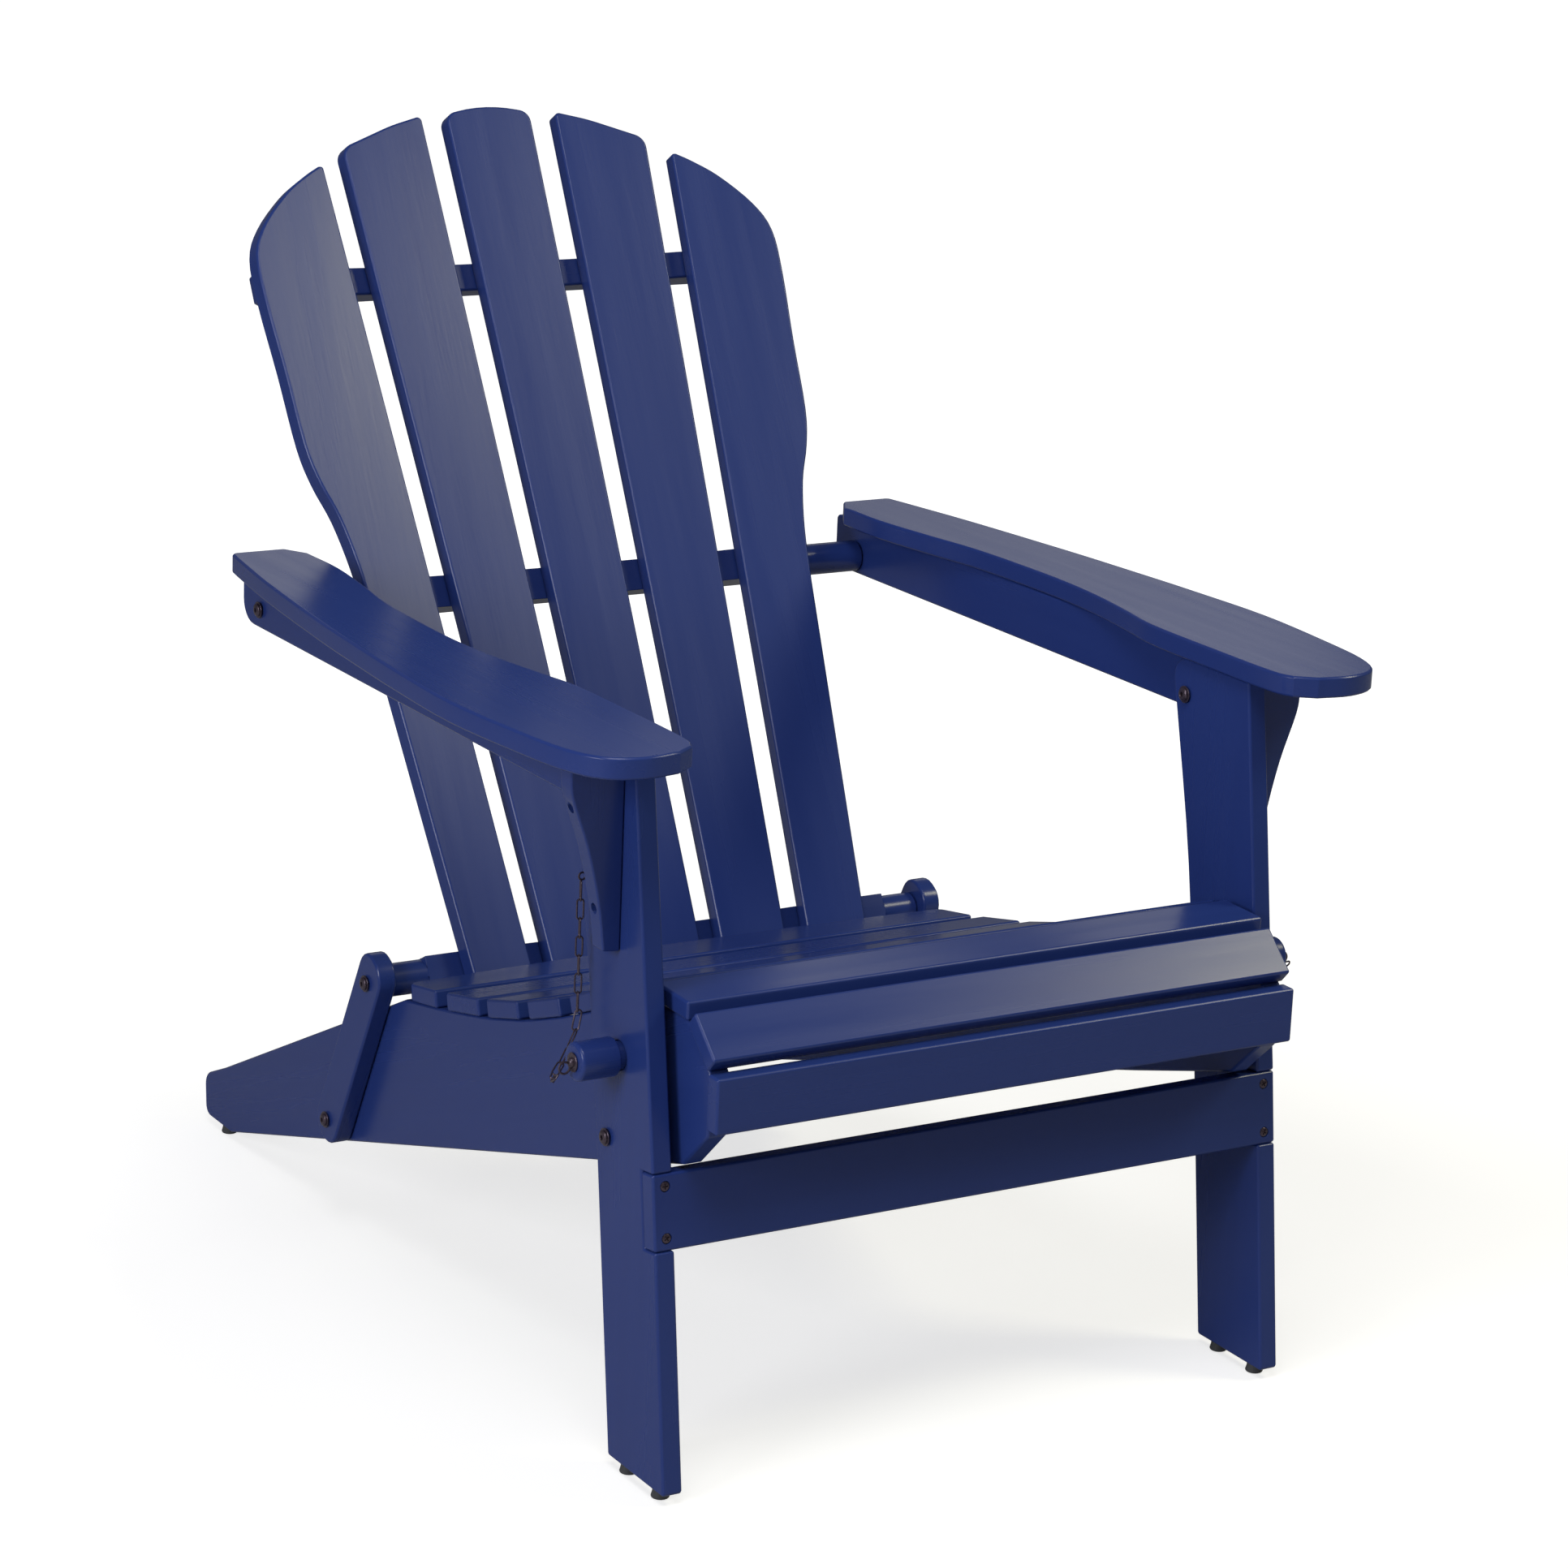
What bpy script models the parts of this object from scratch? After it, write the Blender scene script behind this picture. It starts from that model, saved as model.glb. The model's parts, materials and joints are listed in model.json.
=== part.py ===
"""Folding adirondack garden chair in painted boards, with its pivots, bolts and locking pins.

Lengths are metres. The chair faces -Y, +Z is up, +X is the sitter's left and the floor is z = 0.
Boards that stand on edge are drawn as (y, z) outlines and placed at their own distance from the
middle plane. Five pivot lines along X carry the fold: leg, arm front, arm rear, back and link.
"""

import math

import bmesh
import bpy
from mathutils import Matrix, Vector

# Driving dimensions
BOARD = 0.017
SLAT = 0.015
LINK_BOARD = 0.0165
GAP = 0.0003
CHAMFER = 0.0015
FLOOR_GAP = 0.008

# Pivot lines, as (y, z)
LEG_PIVOT = (0.106, 0.260)
ARM_FRONT_PIVOT = (0.1635, 0.535)
ARM_REAR_PIVOT = (0.701, 0.5335)
BACK_PIVOT = (0.541, 0.2475)
LINK_PIVOT = (0.6147, 0.103)
PIN_AXIS = (0.092, 0.329)

# Inner faces of the boards that stand side by side, measured from the middle plane
RAIL_IN = 0.242
LINK_IN = 0.2595
LEG_IN = 0.268
ARM_RAIL_IN = 0.286
LEG_OUT = LEG_IN + BOARD
RAIL_OUT = RAIL_IN + BOARD
LINK_OUT = LINK_IN + LINK_BOARD
ARM_RAIL_OUT = ARM_RAIL_IN + BOARD

# Half lengths of the crosswise pieces
SEAT_HALF = 0.261
APRON_HALF = LEG_OUT
MIDDLE_BAR_HALF = 0.285
BOTTOM_BAR_HALF = 0.2585
UPPER_BAR_HALF = 0.2495

# Seat: the curve of its upper surface, and each slat's front and rear edge along Y
SEAT_CURVE = (
    (0.034, 0.385), (0.085, 0.386), (0.122, 0.374), (0.190, 0.345), (0.260, 0.317),
    (0.328, 0.295), (0.397, 0.2785), (0.465, 0.2645), (0.505, 0.258),
)
SEAT_SLATS = {
    "seat_slat_front": (0.034, 0.083),
    "seat_slat_6": (0.098, 0.148),
    "seat_slat_5": (0.165, 0.217),
    "seat_slat_4": (0.234, 0.2856),
    "seat_slat_3": (0.302, 0.3545),
    "seat_slat_2": (0.369, 0.425),
}
REAR_SLAT = (0.444, 0.508)
REAR_SLAT_SAG = 0.013
NOSE_TOP = (0.024, 0.380)
NOSE_BOTTOM = (-0.007, 0.3517)
FASCIA_FRONT = -0.0135
FASCIA_Z = (0.296, 0.340)

# Rail: heel and the straight run of its upper and lower edges
RAIL_HEEL = (0.895, FLOOR_GAP)
RAIL_TOP_SLOPE = -0.485

# Leg and apron
LEG_FRONT_SLOPE = 0.1324
LEG_TOE = 0.003
LEG_TOP = 0.564
APRON_Z = (0.1945, 0.2530)

# Arms
ARM_UNDERSIDE = 0.565
ARM_RAIL_UNDERSIDE = 0.517

# Back: the slats' shared frame starts at the back pivot and runs up the back
BACK_LENGTH = math.dist(BACK_PIVOT, ARM_REAR_PIVOT)
BACK_LEAN = math.atan2(ARM_REAR_PIVOT[0] - BACK_PIVOT[0], ARM_REAR_PIVOT[1] - BACK_PIVOT[1])
UPPER_BAR_AT = 0.611
BAR_RADIUS = 0.014
BAR_FRONT = 0.0027
BAR_CURVE_RADIUS = 1.641
BAR_BLOCK_HALF = 0.225
SLAT_FOOT = -0.025

# Fasteners
HOLE_RADIUS = 0.0035
SHANK_RADIUS = 0.003
HEAD_RADIUS = 0.0055
HEAD_HEIGHT = 0.0045
WASHER_RADIUS = 0.007
WASHER = 0.0012
SOCKET_RADIUS = 0.002
SOCKET_DEPTH = 0.002
NUT_RADIUS = 0.0058
NUT_THICKNESS = 0.005
GLIDE_RADIUS = 0.0072
PIN_RADIUS = 0.011
PIN_HOLE_RADIUS = 0.0115
HANDLE_RADIUS = 0.015
HANDLE_IN = 0.290
HANDLE_OUT = 0.323
CHAIN_RADIUS = 0.0024

SIDES = {"left": 1, "right": -1}
# Local X, Y and Z of a board on edge lie along world Y, Z and X
ON_EDGE = (math.radians(90), 0, math.radians(90))
ROUND_STEPS = 20

# Route of the left chain, from its eye on the leg to the ring on the locking pin
CHAIN_ROUTE = (
    (0.2970, 0.1360, 0.4510), (0.2970, 0.1360, 0.3450), (0.3000, 0.1350, 0.3330),
    (0.3085, 0.1315, 0.3225), (0.3205, 0.1260, 0.3150), (0.3315, 0.1185, 0.3115),
    (0.3395, 0.1100, 0.3120), (0.3415, 0.1020, 0.3155), (0.3395, 0.0950, 0.3200),
)


def clear_scene():
    for old in list(bpy.data.objects):
        bpy.data.objects.remove(old)


def new_collection(name):
    collection = bpy.data.collections.new(name)
    bpy.context.scene.collection.children.link(collection)
    return collection


def new_material(name, colour, roughness, metallic=0.0):
    material = bpy.data.materials.new(name)
    material.use_nodes = True
    shader = material.node_tree.nodes["Principled BSDF"]
    shader.inputs["Base Color"].default_value = (*colour, 1.0)
    shader.inputs["Roughness"].default_value = roughness
    shader.inputs["Metallic"].default_value = metallic
    return material


clear_scene()
CHAIR = new_collection("adirondack_chair")
CUTTERS = new_collection("cutters")
NAVY_PAINT = new_material("navy_paint", (0.021, 0.032, 0.127), 0.45)
BRONZE = new_material("dark_bronze", (0.045, 0.036, 0.030), 0.40, 0.9)
NYLON = new_material("grey_nylon", (0.055, 0.055, 0.058), 0.60)


# ---------------------------------------------------------------- outlines


def smooth(points, steps=4):
    """An even curve that passes through the given 2D points."""
    known = [Vector(point) for point in points]
    known = [2 * known[0] - known[1], *known, 2 * known[-1] - known[-2]]
    curve = []
    for before, start, end, after in zip(known, known[1:], known[2:], known[3:]):
        for step in range(steps):
            t = step / steps
            curve.append(
                start
                + (end - before) * (t / 2)
                + (2 * before - 5 * start + 4 * end - after) * (t * t / 2)
                + (3 * start - before - 3 * end + after) * (t ** 3 / 2)
            )
    curve.append(known[-2])
    return curve


def sharp(points):
    """Corners for filleted() that keep their point."""
    return [(x, y, 0) for x, y in points]


def filleted(corners, steps=6):
    """A closed outline from (x, y, radius) corners."""
    outline = []
    for index, (x, y, radius) in enumerate(corners):
        here = Vector((x, y))
        if radius == 0:
            outline.append(here)
            continue
        before = (Vector(corners[index - 1][:2]) - here).normalized()
        after = (Vector(corners[(index + 1) % len(corners)][:2]) - here).normalized()
        half_angle = before.angle(after) / 2
        reach = radius / math.tan(half_angle)
        centre = here + (before + after).normalized() * radius / math.sin(half_angle)
        start = here + before * reach - centre
        end = here + after * reach - centre
        for step in range(steps + 1):
            outline.append(centre + start.slerp(end, step / steps).normalized() * radius)
    return outline


def circle(radius, steps, turn=0.0):
    angles = [turn + 2 * math.pi * step / steps for step in range(steps)]
    return [Vector((radius * math.cos(a), radius * math.sin(a))) for a in angles]


def mirrored(outline, side):
    """The outline itself for the left side, and its reflection for the right."""
    if side > 0:
        return outline
    return [Vector((-x, y)) for x, y in reversed(outline)]


# ---------------------------------------------------------------- pieces


def add_object(name, mesh, material, location=(0, 0, 0), rotation=(0, 0, 0), parent=None):
    piece = bpy.data.objects.new(name, mesh)
    CHAIR.objects.link(piece)
    mesh.materials.clear()
    mesh.materials.append(material)
    piece.location = location
    piece.rotation_euler = rotation
    attach(piece, parent)
    return piece


def attach(piece, parent):
    """Parent to an unturned empty, and keep location as a world position."""
    if parent is not None:
        piece.parent = parent
        piece.matrix_parent_inverse = Matrix.Translation(-parent.location)


def add_axis(name, x, pivot):
    """An empty on a joint's axis, which carries the pieces of one moving body."""
    empty = bpy.data.objects.new(name, None)
    empty.empty_display_size = 0.03
    empty.location = (x, *pivot)
    CHAIR.objects.link(empty)
    return empty


def plate_mesh(name, outline, thickness, hole=None):
    """A flat board: its outline filled and extruded evenly to both sides of its XY plane."""
    curve = bpy.data.curves.new(name, "CURVE")
    curve.dimensions = "2D"
    curve.fill_mode = "BOTH"
    curve.extrude = thickness / 2
    for loop in filter(None, (outline, hole)):
        spline = curve.splines.new("POLY")
        spline.points.add(len(loop) - 1)
        spline.use_cyclic_u = True
        for point, (x, y) in zip(spline.points, loop):
            point.co = (x, y, 0, 1)
    holder = bpy.data.objects.new(name, curve)
    CHAIR.objects.link(holder)
    graph = bpy.context.evaluated_depsgraph_get()
    mesh = bpy.data.meshes.new_from_object(holder.evaluated_get(graph))
    bpy.data.objects.remove(holder)
    edit = bmesh.new()
    edit.from_mesh(mesh)
    bmesh.ops.remove_doubles(edit, verts=edit.verts, dist=1e-5)
    bmesh.ops.dissolve_limit(edit, angle_limit=0.002, verts=edit.verts, edges=edit.edges)
    bmesh.ops.recalc_face_normals(edit, faces=edit.faces)
    edit.to_mesh(mesh)
    edit.free()
    return mesh


def box_mesh(name, size):
    mesh = bpy.data.meshes.new(name)
    edit = bmesh.new()
    bmesh.ops.create_cube(edit, size=1.0)
    bmesh.ops.scale(edit, vec=size, verts=edit.verts)
    edit.to_mesh(mesh)
    edit.free()
    return mesh


def cylinder_mesh(name, radius, length, steps=ROUND_STEPS):
    """A closed cylinder along local Z."""
    mesh = bpy.data.meshes.new(name)
    edit = bmesh.new()
    bmesh.ops.create_cone(
        edit, cap_ends=True, segments=steps, radius1=radius, radius2=radius, depth=length
    )
    edit.to_mesh(mesh)
    edit.free()
    return mesh


def torus_mesh(name, ring_radius, wire_radius):
    """A ring around local Y, spun from a small circle."""
    mesh = bpy.data.meshes.new(name)
    edit = bmesh.new()
    wire = bmesh.ops.create_circle(edit, segments=6, radius=wire_radius)["verts"]
    bmesh.ops.translate(edit, verts=wire, vec=(ring_radius, 0, 0))
    bmesh.ops.rotate(edit, verts=wire, matrix=Matrix.Rotation(math.pi / 2, 3, "X"))
    bmesh.ops.spin(
        edit, geom=edit.verts[:] + edit.edges[:], axis=(0, 0, 1), angle=2 * math.pi,
        steps=12, use_merge=True,
    )
    bmesh.ops.remove_doubles(edit, verts=edit.verts, dist=1e-6)
    bmesh.ops.recalc_face_normals(edit, faces=edit.faces)
    bmesh.ops.rotate(edit, verts=edit.verts, matrix=Matrix.Rotation(math.pi / 2, 3, "X"))
    edit.to_mesh(mesh)
    edit.free()
    return mesh


def soften(piece, width=CHAMFER):
    bevel = piece.modifiers.new("chamfer", "BEVEL")
    bevel.width = width
    bevel.segments = 1
    bevel.limit_method = "ANGLE"
    bevel.angle_limit = math.radians(40)


def shade_round(mesh):
    mesh.shade_smooth()
    mesh.set_sharp_from_angle(angle=math.radians(35))


def combine(piece, mesh, operation, location=(0, 0, 0), rotation=(0, 0, 0)):
    """Cut a hidden helper shape out of a piece, or join it on."""
    helper = bpy.data.objects.new(piece.name + "_" + operation.lower(), mesh)
    CUTTERS.objects.link(helper)
    helper.location = location
    helper.rotation_euler = rotation
    helper.hide_render = True
    helper.display_type = "WIRE"
    boolean = piece.modifiers.new(operation.lower(), "BOOLEAN")
    boolean.operation = operation
    boolean.solver = "EXACT"
    boolean.object = helper


def drill(piece, x, pivot, radius, length):
    """A round hole along X."""
    cutter = cylinder_mesh(piece.name + "_drill", radius, length)
    combine(piece, cutter, "DIFFERENCE", (x, *pivot), (0, math.pi / 2, 0))


def edge_board(name, outline, inner_face, thickness, side, pivot, parent):
    """A board on edge, drawn in (y, z), with its origin on its pivot line."""
    local = [Vector((y - pivot[0], z - pivot[1])) for y, z in outline]
    x = side * (inner_face + thickness / 2)
    board = add_object(
        name, plate_mesh(name, local, thickness), NAVY_PAINT, (x, *pivot), ON_EDGE, parent
    )
    soften(board)
    return board


def turned(name, profile, location, towards, material, parent):
    """A round piece from (radius, height) points, outer end first, with height along +X or -X."""
    mesh = bpy.data.meshes.new(name)
    edit = bmesh.new()
    points = [edit.verts.new((radius, 0, height)) for radius, height in profile]
    for start, end in zip(points, points[1:]):
        edit.edges.new((start, end))
    edit.to_mesh(mesh)
    edit.free()
    piece = add_object(
        name, mesh, material, location, (0, towards * math.pi / 2, 0), parent
    )
    screw = piece.modifiers.new("turn", "SCREW")
    screw.steps = ROUND_STEPS
    screw.render_steps = ROUND_STEPS
    screw.use_merge_vertices = True
    screw.merge_threshold = 1e-5
    screw.use_smooth_shade = False
    return piece


def bolt(name, face, pivot, length, side, outward, parent):
    """A button-head bolt with its washer: `face` is the surface it bears on."""
    top = GAP + HEAD_HEIGHT + WASHER
    under_head = GAP + WASHER
    profile = (
        (0, top - SOCKET_DEPTH), (SOCKET_RADIUS, top - SOCKET_DEPTH), (SOCKET_RADIUS, top),
        (HEAD_RADIUS * 0.6, top), (HEAD_RADIUS * 0.9, top - HEAD_HEIGHT * 0.35),
        (HEAD_RADIUS, under_head + HEAD_HEIGHT * 0.25), (HEAD_RADIUS, under_head),
        (WASHER_RADIUS, under_head), (WASHER_RADIUS, GAP), (SHANK_RADIUS, GAP),
        (SHANK_RADIUS, -length), (0, -length),
    )
    return turned(name, profile, (side * face, *pivot), side * outward, BRONZE, parent)


def nut(name, face, pivot, side, parent):
    """A hexagon nut against the inner face of a rail."""
    ring = plate_mesh(
        name, circle(NUT_RADIUS, 6), NUT_THICKNESS, circle(SHANK_RADIUS + GAP, ROUND_STEPS)
    )
    x = side * (face - GAP - NUT_THICKNESS / 2)
    return add_object(name, ring, BRONZE, (x, *pivot), ON_EDGE, parent)


# ---------------------------------------------------------------- seat frame


def seat_height(y):
    for (y0, z0), (y1, z1) in zip(SEAT_CURVE, SEAT_CURVE[1:]):
        if y <= y1:
            break
    return z0 + (z1 - z0) * (y - y0) / (y1 - y0)


def slat_ends(front, rear):
    """The slat's upper front and rear edge, and its unit normal, in (y, z)."""
    start = Vector((front, seat_height(front)))
    end = Vector((rear, seat_height(rear)))
    along = (end - start).normalized()
    return start, end, Vector((-along.y, along.x))


def rail_outline():
    under_seat = []
    for front, rear in (*SEAT_SLATS.values(), REAR_SLAT):
        start, end, normal = slat_ends(front, rear)
        under_seat += [start - normal * (SLAT + GAP), end - normal * (SLAT + GAP)]
    # The nose slat rests on a slanted corner, and the first slat covers its upper end
    under_seat[0].x = NOSE_TOP[0] + 0.0114
    under_seat[-1].x -= 0.002
    tail = under_seat[-1]
    heel_top = Vector((0.870, tail.y + RAIL_TOP_SLOPE * (0.870 - tail.x)))
    corners = [
        (FASCIA_FRONT + SLAT + GAP, 0.2900, 0.004),
        (FASCIA_FRONT + SLAT + GAP, 0.3388, 0),
        *sharp(under_seat),
        (heel_top.x, heel_top.y, 0.020),
        (0.9125, 0.046, 0.014),
        (0.9100, FLOOR_GAP, 0.010),
        (*RAIL_HEEL, 0),
        (0.854, FLOOR_GAP, 0),
        (0.168, 0.216, 0),
        (0.036, 0.2575, 0),
    ]
    return filleted(corners)


def build_rails():
    for label, side in SIDES.items():
        rail = edge_board(
            "rail_" + label, rail_outline(), RAIL_IN, BOARD, side, LEG_PIVOT, None
        )
        centre = side * (RAIL_IN + BOARD / 2)
        drill(rail, centre, LEG_PIVOT, HOLE_RADIUS, 2 * BOARD)
        drill(rail, centre, LINK_PIVOT, HOLE_RADIUS, 2 * BOARD)
        drill(rail, centre, PIN_AXIS, PIN_HOLE_RADIUS, 2 * BOARD)
        glide(f"rear_glide_{label}", centre, 0.875, None)


def seat_board(name, start, end, normal):
    """A straight seat board between two upper edges, which lie in (y, z)."""
    middle = (start + end) / 2 - normal * (SLAT / 2)
    tilt = math.atan2(end.y - start.y, end.x - start.x)
    mesh = box_mesh(name, (2 * SEAT_HALF, (end - start).length, SLAT))
    board = add_object(name, mesh, NAVY_PAINT, (0, *middle), (tilt, 0, 0))
    soften(board)
    return board


def build_rear_seat_slat():
    """The last slat has a hollow rear edge, which clears the fanned back."""
    start, end, normal = slat_ends(*REAR_SLAT)
    depth = (end - start).length
    rear_edge = [
        (x, depth - REAR_SLAT_SAG * (x / SEAT_HALF) ** 2)
        for x in (SEAT_HALF * step / 8 for step in range(8, -9, -1))
    ]
    corners = [
        (-SEAT_HALF, 0, 0),
        (SEAT_HALF, 0, 0),
        (*rear_edge[0], 0.010),
        *sharp(rear_edge[1:-1]),
        (*rear_edge[-1], 0.010),
    ]
    mesh = plate_mesh("seat_slat_rear", filleted(corners), SLAT)
    tilt = math.atan2(end.y - start.y, end.x - start.x)
    middle = start - normal * (SLAT / 2)
    slat = add_object("seat_slat_rear", mesh, NAVY_PAINT, (0, *middle), (tilt, 0, 0))
    soften(slat)


def build_seat():
    for name, edges in SEAT_SLATS.items():
        seat_board(name, *slat_ends(*edges))
    build_rear_seat_slat()
    start, end = Vector(NOSE_BOTTOM), Vector(NOSE_TOP)
    along = (end - start).normalized()
    seat_board("nose_slat", start, end, Vector((-along.y, along.x)))
    height = FASCIA_Z[1] - FASCIA_Z[0]
    middle = (0, FASCIA_FRONT + SLAT / 2, sum(FASCIA_Z) / 2)
    fascia = box_mesh("front_fascia", (2 * SEAT_HALF, SLAT, height))
    soften(add_object("front_fascia", fascia, NAVY_PAINT, middle))


def glide(name, x, y, parent):
    """A nylon foot under a board's lower edge."""
    height = FLOOR_GAP - GAP
    mesh = cylinder_mesh(name, GLIDE_RADIUS, height)
    shade_round(mesh)
    foot = add_object(name, mesh, NYLON, (x, y, height / 2), (0, 0, 0), parent)
    soften(foot, 0.001)


# ---------------------------------------------------------------- legs


def leg_front(z):
    return LEG_TOE + LEG_FRONT_SLOPE * (z - FLOOR_GAP)


def apron_frame():
    """The apron's lower and upper front edge, and the inward normal of the leg's front edge."""
    along = Vector((LEG_FRONT_SLOPE, 1)).normalized()
    inward = Vector((along.y, -along.x))
    lower, upper = (Vector((leg_front(z), z)) for z in APRON_Z)
    return lower, upper, inward


def leg_outline():
    lower, upper, inward = apron_frame()
    depth = inward * (BOARD + GAP)
    along = (upper - lower).normalized() * GAP
    rear_edge = smooth(((0.1208, 0.236), (0.1464, 0.3965), (0.178, 0.528)))
    corners = [
        (0.090, FLOOR_GAP, 0.003),
        *sharp(rear_edge),
        (0.1865, LEG_TOP, 0.016),
        (0.0826, LEG_TOP, 0),
        (leg_front(0.300) + 0.001, 0.300, 0),
        *sharp((upper + along, upper + along + depth, lower - along + depth, lower - along)),
        (LEG_TOE, FLOOR_GAP, 0.003),
    ]
    return filleted(corners)


def build_apron(parent):
    lower, upper, inward = apron_frame()
    middle = (lower + upper) / 2 + inward * (BOARD / 2)
    height = (upper - lower).length
    tilt = -math.atan(LEG_FRONT_SLOPE)
    mesh = box_mesh("apron", (2 * APRON_HALF, BOARD, height))
    soften(add_object("apron", mesh, NAVY_PAINT, (0, *middle), (tilt, 0, 0), parent))


def build_corbel(label, side, parent):
    """A small bracket that stands on the leg's outer face and carries the arm."""
    inner = LEG_OUT + GAP
    outer_edge = smooth(
        ((0.2997, 0.4105), (0.3047, 0.4485), (0.3147, 0.4910), (0.3282, 0.5300), (0.3303, 0.5480))
    )
    corners = [
        (inner, 0.4090, 0),
        *sharp(outer_edge),
        (0.3303, ARM_UNDERSIDE - GAP, 0),
        (inner, ARM_UNDERSIDE - GAP, 0),
    ]
    mesh = plate_mesh("corbel_" + label, mirrored(filleted(corners), side), BOARD)
    y = 0.103
    corbel = add_object(
        "corbel_" + label, mesh, NAVY_PAINT, (0, y, 0), (math.pi / 2, 0, 0), parent
    )
    soften(corbel, 0.001)


def build_legs(parent):
    for label, side in SIDES.items():
        leg = edge_board(
            "leg_" + label, leg_outline(), LEG_IN, BOARD, side, LEG_PIVOT, parent
        )
        centre = side * (LEG_IN + BOARD / 2)
        drill(leg, centre, LEG_PIVOT, HOLE_RADIUS, 2 * BOARD)
        drill(leg, centre, ARM_FRONT_PIVOT, HOLE_RADIUS, 2 * BOARD)
        drill(leg, centre, PIN_AXIS, PIN_HOLE_RADIUS, 2 * BOARD)
        for place, y in (("front", 0.022), ("rear", 0.071)):
            glide(f"leg_glide_{place}_{label}", centre, y, parent)
        build_corbel(label, side, parent)
        build_leg_pivot(label, side, parent)
    build_apron(parent)


def build_leg_pivot(label, side, parent):
    """The bolt, spacer and nut that join leg and rail, and the bolt that waits for the arm."""
    reach = LEG_OUT - RAIL_IN + NUT_THICKNESS + 0.0015
    bolt(f"leg_bolt_{label}", LEG_OUT, LEG_PIVOT, reach, side, 1, parent)
    nut(f"leg_nut_{label}", RAIL_IN, LEG_PIVOT, side, parent)
    thickness = LEG_IN - RAIL_OUT - 2 * GAP
    ring = plate_mesh(
        f"leg_spacer_{label}", circle(0.011, ROUND_STEPS), thickness,
        circle(HOLE_RADIUS, ROUND_STEPS),
    )
    x = side * (RAIL_OUT + LEG_IN) / 2
    add_object(f"leg_spacer_{label}", ring, BRONZE, (x, *LEG_PIVOT), ON_EDGE, parent)
    bolt(f"arm_front_bolt_{label}", LEG_IN, ARM_FRONT_PIVOT, BOARD - GAP, side, -1, parent)


# ---------------------------------------------------------------- locking pins and chains


def build_pin(label, side, parent):
    end = LEG_IN + GAP
    profile = (
        (0, HANDLE_OUT), (HANDLE_RADIUS - 0.0025, HANDLE_OUT),
        (HANDLE_RADIUS - 0.0006, HANDLE_OUT - 0.0012), (HANDLE_RADIUS, HANDLE_OUT - 0.004),
        (HANDLE_RADIUS, HANDLE_IN + 0.003), (HANDLE_RADIUS - 0.0015, HANDLE_IN),
        (PIN_RADIUS, HANDLE_IN), (PIN_RADIUS, end), (0, end),
    )
    turned(f"locking_pin_{label}", profile, (0, *PIN_AXIS), side, NAVY_PAINT, parent)
    face = HANDLE_OUT + GAP
    profile = (
        (0, face + 0.0072), (0.0030, face + 0.0068), (0.0036, face + 0.0055),
        (0.0036, face + WASHER), (0.0075, face + WASHER), (0.0075, face), (0, face),
    )
    stud = turned(f"pin_ring_{label}", profile, (0, *PIN_AXIS), side, BRONZE, parent)
    ring = torus_mesh(f"pin_ring_{label}_wire", 0.0045, 0.0009)
    centre = (side * (face + 0.0105), PIN_AXIS[0] - 0.001, PIN_AXIS[1] - 0.003)
    combine(stud, ring, "UNION", centre)


def build_chain_eye(label, side, parent):
    """The small eye behind the bracket that the chain hangs from."""
    base = LEG_OUT + GAP
    top = CHAIN_ROUTE[0]
    profile = (
        (0, base + 0.0085), (0.0013, base + 0.0085), (0.0013, base + 0.0015),
        (0.0040, base + 0.0015), (0.0040, base), (0, base),
    )
    location = (0, top[1], top[2] + 0.0060)
    eye = turned(f"chain_eye_{label}", profile, location, side, BRONZE, parent)
    ring = torus_mesh(f"chain_eye_{label}_wire", 0.0035, 0.0010)
    combine(eye, ring, "UNION", (side * (base + 0.0117), *location[1:]))


def build_chain(label, side, parent):
    """The chain's outer envelope, as one round strand."""
    curve = bpy.data.curves.new(f"chain_{label}", "CURVE")
    curve.dimensions = "3D"
    curve.bevel_depth = CHAIN_RADIUS
    curve.bevel_resolution = 1
    curve.use_fill_caps = True
    spline = curve.splines.new("POLY")
    spline.points.add(len(CHAIN_ROUTE) - 1)
    for point, (x, y, z) in zip(spline.points, CHAIN_ROUTE):
        point.co = (side * x, y, z, 1)
    curve.materials.append(BRONZE)
    chain = bpy.data.objects.new(f"chain_{label}", curve)
    CHAIR.objects.link(chain)
    attach(chain, parent)


# ---------------------------------------------------------------- links


def build_link(label, side, parent):
    """The short strut between the rail's heel and the foot of the back."""
    base = Vector(LINK_PIVOT)
    along = Vector(BACK_PIVOT) - base
    length = along.length
    along.normalize()
    across = Vector((-along.y, along.x))
    half = 0.020
    corners = [
        (-0.020, -half, 0.018), (length + 0.026, -half, 0.018),
        (length + 0.026, half, 0.018), (-0.020, half, 0.018),
    ]
    outline = [base + along * point.x + across * point.y for point in filleted(corners)]
    link = edge_board(
        "link_" + label, outline, LINK_IN, LINK_BOARD, side, LINK_PIVOT, parent
    )
    centre = side * (LINK_IN + LINK_BOARD / 2)
    for pivot in (LINK_PIVOT, BACK_PIVOT):
        drill(link, centre, pivot, HOLE_RADIUS, 2 * LINK_BOARD)
    reach = LINK_OUT - RAIL_IN + NUT_THICKNESS + 0.0015
    bolt(f"link_bolt_{label}", LINK_OUT, LINK_PIVOT, reach, side, 1, None)
    nut(f"link_nut_{label}", RAIL_IN, LINK_PIVOT, side, None)


# ---------------------------------------------------------------- back


def back_matrix(along, forward=0.0):
    """Local X stays X, local Y runs up the back and local Z faces the sitter."""
    up = Vector((0, math.sin(BACK_LEAN), math.cos(BACK_LEAN)))
    front = Vector((0, -math.cos(BACK_LEAN), math.sin(BACK_LEAN)))
    place = Vector((0, *BACK_PIVOT)) + up * along + front * forward
    return place, (math.pi / 2 - BACK_LEAN, 0, 0)


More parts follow.
